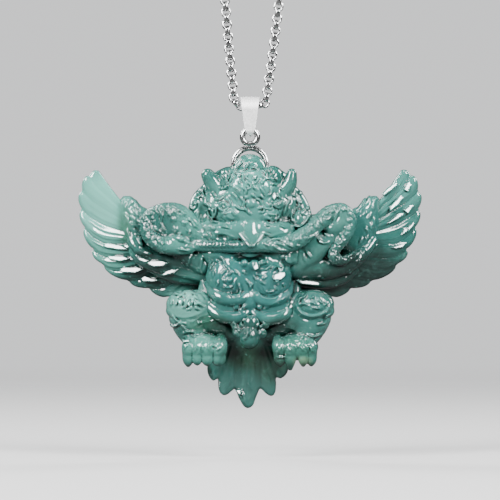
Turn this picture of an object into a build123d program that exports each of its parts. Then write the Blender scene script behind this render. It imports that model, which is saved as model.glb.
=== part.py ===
from build123d import *
from collections import namedtuple
import math
import os

# A jade carving of a bird with spread wings and a snake in its beak, on a silver hoop, bail and chain.
# Millimetres. X is to the viewer's right, the carving faces -Y, and Z is up.
# The origin is the point where the chain rests on what it hangs from.

# The carved stone
half_span = 34.2  # centre line to wing edge
stone_height = 50.7  # crest to tail tip
stone_depth = 18.0  # belly to back
stone_set_back = 0.57  # how far back the carving stands, so that its weight hangs under the hoop
feather_half_width = 1.6
feather_thickness = 2.4
wing_web_thickness = 3.4
feather_web_thickness = 1.4
tail_half_width = 1.5
tail_thickness = 2.6
shaft_share = 0.3  # a feather's shaft, beside its half width
joint_share = 0.95  # the start of a limb that follows another, beside the end of that one
limb_turn = 37.0  # degrees round its run from the forward side to a limb's seam, clear of the middle plane
arm_radius = 2.4
snake_radius = 1.6
head_radius = 6.0
horn_radius = 1.6
beak_radius = 2.5
gem_radius = 1.3
torso_radius = 7.0
breast_radius = 4.4
sash_radius = 4.1
sash_bar_radius = 0.8
flower_radius = 1.4
knee_radius = 4.0
foot_radius = 2.75
toe_radius = 1.0

# The hoop through the stone's loop, with a small ring soldered on it
hoop_diameter = 7.5
hoop_band = 1.15
hoop_thickness = 0.95
hoop_edge_radius = 0.3
hoop_groove_radius = 0.17
ring_diameter = 4.1
ring_wire = 1.15
solder_overlap = 0.4
hoop_height = 17.22  # hoop centre above the beak tip
loop_width = 2.2
loop_wall = 1.1
loop_clearance = 0.42  # between the band and the hole, all round
pocket_clearance = 0.45  # between the hoop and the stone behind the crest

# The bail, a strap bent into a closed loop
bail_height = 8.05
bail_top_width = 3.84
bail_neck_width = 2.18
bail_neck_height = 1.7  # neck above the lowest point
bail_tip_width = 1.0
bail_strap = 0.6
bail_depth = 4.4
ring_play = 0.35  # between the ring's wire and the bail's lower bend

# The chain, as the solid tube that its links fill
chain_diameter = 2.0
bail_play = 0.4  # between the chain and the bail's upper bend
arc_share = 0.45  # of the shorter run beside a turn, taken by its arc
clasp_length = 12.0
clasp_diameter = 3.8
clasp_edge_radius = 0.6
clasp_socket_depth = 2.0
clasp_play = 0.2  # between the chain's end and its socket

# The chain's route: across, and up from its lowest stretch, from the clasp round to the clasp again.
chain_route = [
    (16.0, 148.0),
    (13.9, 110.0),
    (11.2, 74.0),
    (8.2, 42.0),
    (5.96, 22.0),
    (4.5, 10.3),
    (3.45, 3.2),
    (3.15, 0.0),
    (-3.15, 0.0),
    (-3.35, 3.2),
    (-4.1, 10.3),
    (-5.06, 22.0),
    (-6.75, 42.0),
    (-9.4, 74.0),
    (-12.3, 110.0),
    (-15.1, 148.0),
    (-17.6, 192.0),
    (-17.8, 205.0),
    (-7.4, 215.4),
    (7.4, 215.4),
    (17.8, 205.0),
    (17.7, 192.0),
]

# Heights above the beak tip, and then levels below the origin
chain_rise = max(up for across, up in chain_route)
ring_height = hoop_height + (hoop_diameter + ring_diameter) / 2 - solder_overlap
ring_pivot_height = ring_height + (ring_diameter - ring_wire) / 2
bail_bottom_height = ring_pivot_height - ring_wire / 2 - ring_play - bail_strap
bail_top_height = bail_bottom_height + bail_height
chain_low_height = bail_top_height - bail_strap - bail_play - chain_diameter / 2
beak_level = chain_diameter / 2 - chain_rise - chain_low_height
hoop_level = beak_level + hoop_height
ring_level = beak_level + ring_height
bail_top_level = beak_level + bail_top_height
bail_bottom_level = beak_level + bail_bottom_height
chain_low_level = beak_level + chain_low_height
hoop_mid_radius = (hoop_diameter - hoop_band) / 2
ring_mid_radius = (ring_diameter - ring_wire) / 2
stone_pivot_level = hoop_level - hoop_mid_radius
ring_pivot_level = ring_level + ring_mid_radius
loop_hole_radius = hoop_band / 2 + loop_clearance

# The carving is drawn on a grid: 34.2 squares to the half span, 50.7 to the height and 18 to the depth.
square_across = half_span / 34.2
square_up = stone_height / 50.7
square_deep = stone_depth / 18.0

Limb = namedtuple("Limb", "across up deep size end_across end_up end_deep end_size")
Ball = namedtuple("Ball", "across up deep size")
Crescent = namedtuple("Crescent", "across up deep size bar from_angle sweep")


def on_grid(across, up, deep):
    """The stone's point at this place of the grid, counted from the beak tip and the hoop's plane."""
    return Vector(across * square_across, stone_set_back + deep * square_deep, beak_level + up * square_up)


def half_outline(row, unit, length):
    """Half of a tapered outline with round ends, closed along its middle line."""
    start_radius = row.size * unit
    end_radius = row.end_size * unit
    shoulder_angle = math.degrees(math.acos((start_radius - end_radius) / length))
    with BuildSketch() as outline:
        with BuildLine():
            back = CenterArc((0, 0), start_radius, shoulder_angle, 180 - shoulder_angle)
            front = CenterArc((length, 0), end_radius, 0, shoulder_angle)
            Line(back @ 0, front @ 1)
            Line(back @ 1, front @ 0)
        make_face()
    return outline.sketch


def limb_form(row, unit):
    """A solid of revolution that tapers from one ball to another, with its radii as shares of unit."""
    start = on_grid(row.across, row.up, row.deep)
    run = on_grid(row.end_across, row.end_up, row.end_deep) - start
    across_seam = Vector(0, 1, 0).cross(run).rotate(Axis(start, run), limb_turn)
    with BuildPart() as form:
        with BuildSketch(Plane(origin=start, x_dir=run, z_dir=across_seam)):
            add(half_outline(row, unit, run.length))
        revolve(axis=Axis(start, run))
    return form.part


def limb_forms(rows, unit):
    return [limb_form(row, unit) for row in rows]


def path_forms(stations, unit):
    """Limbs from each station of a bent form to the next one, each a little slimmer where it starts."""
    rows = []
    for first, second in zip(stations, stations[1:]):
        slimmer = first._replace(size=first.size * joint_share)
        rows.append(Limb(*slimmer, *second))
    return limb_forms(rows, unit)


def ball_forms(balls, unit):
    forms = []
    for ball in balls:
        with BuildPart(Plane(on_grid(ball.across, ball.up, ball.deep))) as form:
            Sphere(ball.size * unit)
        forms.append(form.part)
    return forms


def plate_form(row, unit, thickness):
    """A flat plate with round ends, whose face looks forward."""
    start = on_grid(row.across, row.up, row.deep)
    run = on_grid(row.end_across, row.end_up, row.end_deep) - start
    front = run.cross(Vector(0, -1, 0)).cross(run).normalized()
    with BuildPart() as form:
        with BuildSketch(Plane(origin=start, x_dir=run, z_dir=front)):
            add(half_outline(row, unit, run.length))
            mirror(about=Plane.XZ)
        extrude(amount=thickness / 2, both=True)
    return form.part


def feather_form(row, unit, thickness):
    """A plate with a raised shaft along its front."""
    start = on_grid(row.across, row.up, row.deep)
    run = on_grid(row.end_across, row.end_up, row.end_deep) - start
    shaft_start = start + run.cross(Vector(0, -1, 0)).cross(run).normalized() * (thickness / 2)
    with BuildPart() as form:
        add(plate_form(row, unit, thickness))
        with BuildSketch(Plane(origin=shaft_start, x_dir=run, z_dir=Vector(0, 1, 0).cross(run))):
            add(half_outline(row, unit * shaft_share, run.length))
        revolve(axis=Axis(shaft_start, run))
    return form.part


def crescent_form(row, radius, bar_radius):
    """A round bar bent along part of a circle that faces forward, its angles counted from +X over +Z."""
    centre = on_grid(row.across, row.up, row.deep)
    with BuildPart() as form:
        with BuildSketch(Plane(origin=centre, z_dir=(0, 0, 1))):
            with Locations((row.size * radius, 0)):
                Circle(row.bar * bar_radius)
        revolve(axis=Axis(centre, (0, -1, 0)), revolution_arc=row.sweep)
    return form.part.rotate(Axis(centre, (0, -1, 0)), row.from_angle)


def web_form(corners, deep, thickness):
    """A flat plate behind the arm and the feathers, with its corners and its depth on the grid."""
    outline = [(across * square_across, beak_level + up * square_up) for across, up in corners]
    with BuildPart() as form:
        with BuildSketch(Plane.XZ.offset(-stone_set_back - deep * square_deep)):
            with BuildLine():
                Polyline(*outline, close=True)
            make_face()
        extrude(amount=thickness / 2, both=True)
    return form.part


def both_sides(forms):
    """The forms and their mirror images across the middle of the bird."""
    return forms + [mirror(form, about=Plane.YZ, mode=Mode.PRIVATE) for form in forms]


# Each feather runs from the arm to its tip, from the leading edge down to the body.
feathers = [
    Limb(26.2, 8.4, 2.2, 0.88, 30.9, 14.8, 3.6, 0.70),
    Limb(25.8, 7.2, 2.5, 0.88, 32.3, 13.2, 3.9, 0.78),
    Limb(25.6, 5.4, 2.2, 1.00, 32.5, 9.9, 3.6, 0.95),
    Limb(25.0, 3.4, 2.5, 1.05, 32.4, 6.6, 3.9, 1.00),
    Limb(24.2, 1.6, 2.2, 1.05, 31.8, 3.1, 3.6, 1.07),
    Limb(23.0, 0.0, 2.5, 1.10, 29.7, -0.7, 3.8, 1.10),
    Limb(21.4, -1.2, 2.2, 1.15, 27.2, -3.7, 3.4, 1.30),
    Limb(18.0, -2.4, 2.4, 1.20, 22.1, -5.6, 3.3, 1.15),
    Limb(14.0, -3.6, 2.1, 1.30, 17.6, -7.3, 2.8, 1.30),
    Limb(9.6, -4.4, 2.3, 1.50, 12.4, -6.8, 2.6, 1.50),
]
wing_web = [(24.5, 8.6), (20.2, 7.5), (12.4, 7.3), (6.0, 4.0), (6.0, -6.5), (18.0, -5.0), (26.5, 0.0)]
wing_web_deep = 2.2
feather_web = [
    (25.6, 9.8),
    (30.7, 14.5),
    (32.6, 11.6),
    (33.0, 8.2),
    (32.6, 4.8),
    (30.9, 0.8),
    (28.6, -2.4),
    (23.6, -5.2),
    (20.0, -7.0),
    (16.4, -8.2),
    (8.6, -7.4),
    (16.0, 0.0),
]
feather_web_deep = 3.2
arm = [
    Ball(24.4, 9.0, 1.2, 0.78),
    Ball(22.4, 1.0, 0.8, 1.00),
    Ball(17.0, -3.2, 0.1, 1.10),
    Ball(9.4, -4.4, -0.8, 1.15),
]
upper_arm = [
    Ball(10.2, -2.6, -3.0, 0.78),
    Ball(15.4, 2.0, -3.0, 0.82),
]
snake_body = [
    Ball(-10.4, 0.9, -6.0, 0.85),
    Ball(-0.8, 0.8, -6.8, 0.92),
    Ball(7.0, 0.8, -6.5, 1.05),
    Ball(10.0, 2.0, -6.0, 1.10),
    Ball(12.4, 4.0, -5.2, 1.10),
    Ball(14.4, 6.0, -4.4, 1.08),
    Ball(16.6, 7.2, -3.8, 1.05),
    Ball(18.8, 6.8, -3.4, 1.00),
    Ball(19.8, 4.8, -3.4, 0.85),
    Ball(18.2, 1.4, -3.6, 0.75),
    Ball(16.6, -0.6, -3.7, 0.70),
    Ball(17.2, -2.0, -3.7, 0.60),
    Ball(19.2, -1.6, -3.6, 0.48),
    Ball(20.4, -0.8, -3.4, 0.30),
]
snake_neck = [
    Ball(-9.0, 2.0, -5.2, 1.00),
    Ball(-12.2, 5.0, -4.6, 1.35),
    Ball(-15.8, 6.6, -4.0, 1.50),
    Ball(-18.4, 6.6, -3.6, 1.15),
    Ball(-20.6, 5.0, -3.6, 0.90),
    Ball(-20.4, 3.0, -3.8, 0.92),
    Ball(-18.2, 1.4, -4.4, 1.05),
    Ball(-16.4, 0.8, -5.0, 1.25),
    Ball(-13.4, 0.9, -5.4, 1.10),
]
snake_coil_fill = [Ball(16.8, 4.6, -2.4, 1.75)]

skull = [
    Limb(0.0, 16.2, -3.8, 0.46, 0.0, 11.5, -5.0, 0.62),
    Limb(-5.2, 10.8, -4.3, 0.54, 5.2, 10.8, -4.3, 0.54),
    Limb(-5.2, 4.9, -4.5, 0.50, 5.2, 4.9, -4.5, 0.50),
    Limb(0.0, 10.2, -3.0, 1.05, 0.0, 4.0, -2.0, 0.98),
]
mantle = [
    Ball(-5.8, 14.2, -2.9, 0.31),
    Ball(-2.4, 15.7, -3.0, 0.33),
    Ball(2.4, 15.7, -3.0, 0.34),
    Ball(6.1, 14.2, -2.9, 0.31),
]
mane = [
    Ball(6.8, 12.0, -2.4, 0.58),
    Ball(8.7, 7.4, -2.0, 0.60),
    Ball(9.0, 3.4, -2.2, 0.46),
]
cheeks = [Limb(6.4, 5.6, -3.8, 0.53, 4.2, 9.5, -4.8, 0.50)]
horns = [Limb(6.4, 12.0, -3.0, 1.00, 8.35, 14.8, -3.2, 0.90)]
beak = [Limb(0.2, 4.2, -6.4, 1.12, 0.5, 1.0, -8.4, 0.30)]
eyes = [
    Ball(4.0, 7.0, -7.0, 0.95),
    Ball(5.4, 9.0, -6.2, 0.80),
]
crown_gems = [
    Ball(0.4, 9.4, -8.2, 0.95),
    Ball(9.8, 5.6, -4.6, 1.35),
    Ball(-9.4, 9.6, -4.2, 1.00),
    Ball(0.2, 13.4, -7.6, 0.90),
]

torso = [
    Limb(0.0, 2.0, 0.9, 0.92, 0.0, -9.0, 1.1, 1.05),
    Limb(0.0, -12.0, 1.4, 0.62, 0.0, -19.0, 1.4, 0.47),
    Limb(-5.6, -2.4, -2.0, 0.36, 5.6, -2.4, -2.0, 0.37),
    Limb(-4.2, -16.6, 1.2, 0.46, 4.2, -16.6, 1.2, 0.45),
]
breast = [
    Ball(4.3, -5.8, -3.4, 0.98),
    Ball(4.4, -9.7, -2.8, 0.98),
]
sashes = [
    Crescent(4.4, -5.8, -5.4, 0.85, 0.80, 200, 140),
    Crescent(4.4, -9.6, -4.6, 1.00, 1.00, 195, 150),
]
throat_gems = [
    Ball(-1.0, -2.9, -6.3, 0.80),
    Ball(1.2, -3.0, -6.4, 0.90),
]
flower = [
    Limb(0.0, -14.4, -5.8, 1.00, 0.0, -13.0, -4.0, 1.00),
    Limb(0.0, -16.3, -5.0, 0.92, 0.0, -18.2, -4.6, 0.82),
]
flower_petals = [
    Limb(3.3, -15.0, -4.8, 0.58, 0.6, -14.4, -4.6, 0.60),
    Limb(2.7, -16.7, -4.8, 0.58, 0.4, -14.9, -4.6, 0.60),
]

legs = [
    Limb(6.2, -8.6, -1.2, 0.85, 12.7, -12.3, -3.2, 1.00),
    Limb(12.6, -13.6, -2.8, 0.93, 10.4, -17.6, -2.6, 0.78),
    Limb(9.0, -15.0, 0.6, 0.60, 3.0, -16.0, 0.8, 0.70),
]
feet = [Limb(10.7, -19.5, -3.4, 1.00, 7.3, -19.7, -3.4, 1.00)]
toes = [
    Limb(12.2, -20.3, -4.2, 0.95, 12.1, -22.3, -4.0, 0.90),
    Limb(10.4, -20.4, -4.6, 0.95, 10.4, -22.2, -4.3, 0.85),
    Limb(8.4, -20.4, -4.6, 1.00, 8.2, -22.7, -4.3, 0.95),
    Limb(6.4, -20.2, -4.2, 1.00, 6.3, -22.2, -4.0, 0.95),
]
tail = [
    Limb(-0.8, -18.0, 1.2, 1.30, -7.2, -24.6, 0.2, 1.00),
    Limb(-0.4, -18.0, 1.2, 1.40, -5.2, -27.7, -0.2, 0.90),
    Limb(0.0, -18.0, 1.2, 1.60, -0.3, -29.9, -0.5, 1.10),
    Limb(0.4, -18.0, 1.2, 1.40, 4.4, -27.8, -0.2, 0.90),
    Limb(0.8, -18.0, 1.2, 1.30, 6.9, -24.4, 0.2, 0.93),
]
tail_fan = [Limb(0.0, -18.5, 1.1, 3.00, -0.2, -22.6, 0.2, 3.60)]


with BuildPart() as wing:
    add(
        [
            web_form(wing_web, wing_web_deep, wing_web_thickness),
            web_form(feather_web, feather_web_deep, feather_web_thickness),
        ]
        + [feather_form(row, feather_half_width, feather_thickness) for row in feathers]
        + path_forms(arm, arm_radius)
        + path_forms(upper_arm, arm_radius)
    )

with BuildPart() as snake:
    add(
        path_forms(snake_body, snake_radius)
        + path_forms(snake_neck, snake_radius)
        + ball_forms(snake_coil_fill, snake_radius)
    )

with BuildPart() as head:
    add(
        limb_forms(skull, head_radius)
        + path_forms(mantle, head_radius)
        + both_sides(path_forms(mane, head_radius))
        + both_sides(limb_forms(cheeks, head_radius))
        + both_sides(limb_forms(horns, horn_radius))
        + limb_forms(beak, beak_radius)
        + both_sides(ball_forms(eyes, gem_radius))
        + ball_forms(crown_gems, gem_radius)
    )

with BuildPart() as body:
    add(
        limb_forms(torso, torso_radius)
        + both_sides(ball_forms(breast, breast_radius))
        + both_sides([crescent_form(row, sash_radius, sash_bar_radius) for row in sashes])
        + ball_forms(throat_gems, gem_radius)
        + limb_forms(flower, flower_radius)
        + both_sides(limb_forms(flower_petals, flower_radius))
        + [plate_form(row, tail_half_width, tail_thickness) for row in tail_fan]
        + [feather_form(row, tail_half_width, tail_thickness) for row in tail]
    )

with BuildPart() as leg:
    add(
        limb_forms(legs, knee_radius)
        + limb_forms(feet, foot_radius)
        + limb_forms(toes, toe_radius)
    )

# The stone is one piece. Behind the crest it is cut back to the hoop's pocket, where its loop stands.
pocket_radius = hoop_diameter / 2 + pocket_clearance
pocket_front = hoop_thickness / 2 + pocket_clearance
loop_plane = Plane(origin=(0, 0, stone_pivot_level), x_dir=(0, 1, 0), z_dir=(1, 0, 0))
with BuildPart() as jade_bird:
    add([*both_sides([wing.part, leg.part]), snake.part, head.part, body.part])
    with BuildSketch(Plane(origin=(0, -pocket_front, hoop_level), x_dir=(1, 0, 0), z_dir=(0, 1, 0))):
        Circle(pocket_radius)
        with Locations((0, -pocket_radius)):
            Rectangle(2 * pocket_radius, 2 * pocket_radius)
    extrude(amount=stone_depth, mode=Mode.SUBTRACT)
    with BuildSketch(loop_plane):
        Circle(loop_hole_radius + loop_wall)
    extrude(amount=loop_width / 2, both=True)
    with BuildSketch(loop_plane):
        Circle(loop_hole_radius)
    extrude(amount=loop_width / 2, both=True, mode=Mode.SUBTRACT)
jade_bird.part.label = "jade_bird"

# The hoop and the small ring are soldered together, so they are one solid.
with BuildPart() as hanger:
    with BuildSketch(Plane.XY.offset(hoop_level)):
        with Locations((hoop_mid_radius, 0)):
            RectangleRounded(hoop_band, hoop_thickness, hoop_edge_radius)
        with Locations((hoop_mid_radius, -hoop_thickness / 2), (hoop_mid_radius, hoop_thickness / 2)):
            Circle(hoop_groove_radius, mode=Mode.SUBTRACT)
    revolve(axis=Axis((0, 0, hoop_level), (0, 1, 0)))
    with BuildSketch(Plane.XY.offset(ring_level)):
        with Locations((ring_mid_radius, 0)):
            Circle(ring_wire / 2)
    revolve(axis=Axis((0, 0, ring_level), (0, 1, 0)))
hanger.part.label = "hanger"

# The bail's strap is bent round the chain above and through the ring below, and narrows to its tip.
bail_foot_radius = ring_wire / 2 + ring_play + bail_strap
bail_tip_radius = bail_tip_width / 2
bail_head_level = bail_top_level - bail_depth / 2
with BuildPart() as bail:
    with BuildSketch(Plane.YZ):
        with Locations((0, ring_pivot_level)):
            Circle(bail_foot_radius)
        with Locations((0, bail_head_level)):
            Circle(bail_depth / 2)
        make_hull()
    extrude(amount=bail_top_width / 2, both=True)
    with BuildSketch(Plane.YZ):
        with Locations((0, ring_pivot_level)):
            Circle(bail_foot_radius - bail_strap)
        with Locations((0, bail_head_level)):
            Circle(bail_depth / 2 - bail_strap)
        make_hull()
    extrude(amount=bail_top_width / 2, both=True, mode=Mode.SUBTRACT)
    with BuildSketch(Plane.XZ):
        with BuildLine():
            right_tip = (bail_tip_radius, bail_bottom_level + bail_tip_radius)
            left_tip = (-bail_tip_radius, bail_bottom_level + bail_tip_radius)
            left_neck = (-bail_neck_width / 2, bail_bottom_level + bail_neck_height)
            right_neck = (bail_neck_width / 2, bail_bottom_level + bail_neck_height)
            ThreePointArc(left_tip, (0, bail_bottom_level), right_tip)
            Polyline(
                right_tip,
                right_neck,
                (bail_top_width / 2, bail_top_level),
                (-bail_top_width / 2, bail_top_level),
                left_neck,
                left_tip,
            )
        make_face()
    extrude(amount=bail_depth, both=True, mode=Mode.INTERSECT)
bail.part.label = "bail"

# The chain starts and ends in the clasp's two sockets, on the straight stretch between its route's ends.
route_points = [Vector(across, 0, chain_low_level + up) for across, up in chain_route]
clasp_centre = (route_points[0] + route_points[-1]) / 2
clasp_direction = (route_points[-1] - route_points[0]).normalized()
chain_end_reach = clasp_length / 2 - clasp_socket_depth + clasp_play
chain_points = [
    clasp_centre - clasp_direction * chain_end_reach,
    *route_points,
    clasp_centre + clasp_direction * chain_end_reach,
]
chain_arc_radii = []
for before, corner, after in zip(chain_points, chain_points[1:], chain_points[2:]):
    run_in = corner - before
    run_out = after - corner
    half_turn = math.radians(run_in.get_angle(run_out)) / 2
    chain_arc_radii.append(arc_share * min(run_in.length, run_out.length) / math.tan(half_turn))
print("chain arc radii, mm:", [round(radius, 1) for radius in chain_arc_radii])
with BuildPart() as neck_chain:
    with BuildLine():
        chain_path = FilletPolyline(*chain_points, radius=chain_arc_radii)
    with BuildSketch(Plane(origin=chain_path @ 0, z_dir=chain_path % 0)):
        Circle(chain_diameter / 2)
    sweep()
neck_chain.part.label = "neck_chain"
print("chain length, mm:", round(chain_path.length, 1))

clasp_plane = Plane(origin=clasp_centre, z_dir=clasp_direction)
with BuildPart() as clasp:
    with BuildSketch(clasp_plane):
        Circle(clasp_diameter / 2)
    extrude(amount=clasp_length / 2, both=True)
    fillet(clasp.edges().filter_by(GeomType.CIRCLE), clasp_edge_radius)
    for side in (-1, 1):
        with BuildSketch(clasp_plane.offset(side * clasp_length / 2)):
            Circle(chain_diameter / 2 + clasp_play)
        extrude(amount=-side * clasp_socket_depth, mode=Mode.SUBTRACT)
clasp.part.label = "clasp"

os.makedirs("parts", exist_ok=True)
for piece in (jade_bird, hanger, bail, neck_chain, clasp):
    export_step(piece.part, f"parts/{piece.part.label}.step")
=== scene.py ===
import itertools
import math

import bpy
import numpy as np
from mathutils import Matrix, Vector


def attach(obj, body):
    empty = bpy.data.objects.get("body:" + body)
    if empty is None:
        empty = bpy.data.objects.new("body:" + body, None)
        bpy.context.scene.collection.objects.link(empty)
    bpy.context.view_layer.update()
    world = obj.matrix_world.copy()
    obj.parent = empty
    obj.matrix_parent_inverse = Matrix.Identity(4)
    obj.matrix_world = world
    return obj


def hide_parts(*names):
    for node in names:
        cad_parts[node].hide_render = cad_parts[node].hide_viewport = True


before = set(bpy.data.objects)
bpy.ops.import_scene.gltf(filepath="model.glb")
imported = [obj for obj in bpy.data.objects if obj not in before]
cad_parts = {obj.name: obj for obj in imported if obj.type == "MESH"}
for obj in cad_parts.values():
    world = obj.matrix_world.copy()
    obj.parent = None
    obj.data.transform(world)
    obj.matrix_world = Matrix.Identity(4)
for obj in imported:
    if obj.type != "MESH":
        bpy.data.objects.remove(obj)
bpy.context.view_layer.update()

# Sculpting is in millimetres: across, deep (front is minus) and up from the beak tip.
# A place is written as the photo's pixel, px and py, with its depth in millimetres.
PHOTO_MIDDLE = 250
PIXELS_PER_MM = 5
BEAK_LEVEL = -243.02
SET_BACK = 0.57
HOOP_LEVEL = 17.22
PIVOT_LEVEL = 14.045
# The rise that turns a flat face halfway from the camera up to the soft lights.
LIGHT_RISE = 0.275
# What a block of clay holds before anything is in it: further away than any form reaches.
EMPTY = 6.0


def spot(px, py, deep):
    """A pixel and its depth, as a place in millimetres."""
    return np.array([(px - PHOTO_MIDDLE) / PIXELS_PER_MM, deep + SET_BACK,
                     (PHOTO_MIDDLE - py) / PIXELS_PER_MM])


def flat_spots(pixels):
    """Pixels as places across and up."""
    return np.array([spot(px, py, 0)[[0, 2]] for px, py in pixels])


def smooth(low, high, value):
    share = np.clip((value - low) / (high - low), 0, 1)
    return share * share * (3 - 2 * share)


def curve_through(rows, steps=6):
    """Rows of numbers, joined by a smooth curve that goes through them all."""
    rows = np.array(rows, float)
    padded = np.vstack([2 * rows[0] - rows[1], rows, 2 * rows[-1] - rows[-2]])
    share = np.arange(steps)[:, None] / steps
    spans = []
    for p0, p1, p2, p3 in zip(padded, padded[1:], padded[2:], padded[3:]):
        spans.append(0.5 * (2 * p1 + (p2 - p0) * share + (2 * p0 - 5 * p1 + 4 * p2 - p3) * share**2
                            + (3 * p1 - p0 - 3 * p2 + p3) * share**3))
    return np.vstack([*spans, rows[-1:]])


class Clay:
    """A block of distances to a form's surface, less than zero inside it."""

    def __init__(self, low, high, step):
        self.step = step
        self.start = np.floor(np.array(low) / step).astype(int)
        self.size = np.ceil(np.array(high) / step).astype(int) - self.start + 1
        self.field = np.full(self.size, EMPTY, np.float32)

    def axis(self, number):
        return ((self.start[number] + np.arange(self.size[number])) * self.step).astype(np.float32)

    def window(self, low, high):
        """The part of the block between two corners, and its x, y and z."""
        first = np.clip(np.floor(np.array(low) / self.step).astype(int) - self.start, 0, self.size - 1)
        last = np.clip(np.ceil(np.array(high) / self.step).astype(int) - self.start + 1, 1, self.size)
        part = tuple(slice(a, max(b, a + 1)) for a, b in zip(first, last))
        x = self.axis(0)[part[0]][:, None, None]
        y = self.axis(1)[part[1]][None, :, None]
        z = self.axis(2)[part[2]][None, None, :]
        return part, x, y, z

    def join(self, part, distance, soft):
        """Adds a form, with a hollow seam soft millimetres wide."""
        old = self.field[part]
        share = np.clip(0.5 + 0.5 * (distance - old) / soft, 0, 1)
        self.field[part] = distance + (old - distance) * share - soft * share * (1 - share)

    def cut(self, part, distance, soft):
        """Takes a form away, with an edge soft millimetres wide."""
        old = self.field[part]
        share = np.clip(0.5 - 0.5 * (-distance - old) / soft, 0, 1)
        self.field[part] = -distance + (old + distance) * share + soft * share * (1 - share)

    def blob(self, px, py, deep, radii, soft=0.8, lean=0.0, cut=False):
        """An egg, leaning clockwise by some degrees."""
        centre, reach = spot(px, py, deep), max(radii) + soft + 0.6
        part, x, y, z = self.window(centre - reach, centre + reach)
        turn = math.radians(lean)
        x, y, z = x - centre[0], y - centre[1], z - centre[2]
        x, z = x * math.cos(turn) - z * math.sin(turn), x * math.sin(turn) + z * math.cos(turn)
        rx, ry, rz = radii
        size = np.sqrt((x / rx) ** 2 + (y / ry) ** 2 + (z / rz) ** 2)
        slope = np.sqrt((x / rx**2) ** 2 + (y / ry**2) ** 2 + (z / rz**2) ** 2) + 1e-6
        distance = (size * (size - 1) / slope).astype(np.float32)
        if cut:
            self.cut(part, distance, soft)
        else:
            self.join(part, distance, soft)

    def tube(self, rows, soft=0.5, steps=6, skin=None, flat=1.0):
        """A tube through rows of px, py, deep and radius, thinner from front to back where flat is over 1.

        skin gives its relief from the distance along it, the distance across it and its whole length.
        """
        rows = curve_through(rows, steps)
        points = np.array([spot(*row[:3]) for row in rows])
        radii = np.maximum(rows[:, 3], 0.12)
        reach = radii.max() * max(flat, 1 / flat) + soft + 0.6
        part, x, y, z = self.window(points.min(0) - reach, points.max(0) + reach)
        inner = Clay(points.min(0) - reach, points.max(0) + reach, self.step)
        along_all = np.zeros(inner.size, np.float32)
        across_all = np.zeros(inner.size, np.float32)
        travelled = 0.0
        for a, b, ra, rb in zip(points, points[1:], radii, radii[1:]):
            run = b - a
            length = float(np.linalg.norm(run)) + 1e-9
            room = max(ra, rb) * max(flat, 1 / flat) + soft + 0.6
            box, bx, by, bz = inner.window(np.minimum(a, b) - room, np.maximum(a, b) + room)
            dx, dy, dz = bx - a[0], by - a[1], bz - a[2]
            share = np.clip((dx * run[0] + dy * run[1] + dz * run[2]) / length**2, 0, 1)
            ex, ey, ez = dx - share * run[0], (dy - share * run[1]) * flat, dz - share * run[2]
            distance = np.sqrt(ex * ex + ey * ey + ez * ez) - (ra + share * (rb - ra))
            closer = distance < inner.field[box]
            inner.field[box] = np.where(closer, distance, inner.field[box])
            if skin:
                along_all[box] = np.where(closer, travelled + share * length, along_all[box])
                side = (dx * run[2] - dz * run[0]) / length
                across_all[box] = np.where(closer, side, across_all[box])
            travelled += length
        if skin:
            inner.field -= skin(along_all, across_all, travelled).astype(np.float32)
        mine = tuple(slice(int(p.start + s - i), int(p.start + s - i) + (p.stop - p.start))
                     for p, s, i in zip(part, self.start, inner.start))
        self.join(part, inner.field[mine], soft)

    def plate(self, outline, front, back, soft=0.6, edge=0.7, dome=0.0):
        """A sheet between two maps of depth, inside an outline. Its front is domed by some millimetres."""
        corners = flat_spots(outline)
        low = [corners[:, 0].min() - 1.5, -12, corners[:, 1].min() - 1.5]
        high = [corners[:, 0].max() + 1.5, 12, corners[:, 1].max() + 1.5]
        part, x, y, z = self.window(low, high)
        side = outline_distance(x[:, 0, 0], z[0, 0, :], corners)[:, None, :]
        crown = 1 - (1 - np.clip(-side / 3.0, 0, 1)) ** 2
        front, back = front(x, z) - dome * crown + SET_BACK, back(x, z) + SET_BACK
        deep = np.maximum(front - y, y - back)
        share = np.clip(0.5 - 0.5 * (side - deep) / edge, 0, 1)
        distance = side + (deep - side) * share + edge * share * (1 - share)
        self.join(part, distance.astype(np.float32), soft)

    def emboss(self, height, reach=1.6, from_back=False):
        """Raises what shows from the front, or from the back, by a map of heights."""
        field = self.field[:, ::-1] if from_back else self.field
        inside = field < 0
        first = np.where(inside.any(1), inside.argmax(1), self.size[1])
        depth = np.arange(self.size[1])[None, :, None] - first[:, None, :]
        weight = 1 - smooth(reach * 0.5 / self.step, reach / self.step, depth)
        field -= (height[:, None, :] * weight).astype(np.float32)

    def facet(self, outline, deep, lean=0.33, thick=2.5):
        """A flat polished face that is turned to a softbox: lean is minus for the left one."""
        across, up = flat_spots(outline).mean(0)

        def front(x, z):
            return deep + lean * (x - across) + LIGHT_RISE * (z - up)

        self.plate(outline, front, level(deep + thick), 0.08, 0.12)

    def add_facets(self, rows):
        for outline, deep, lean in rows:
            self.facet(outline, deep, lean)

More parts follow.
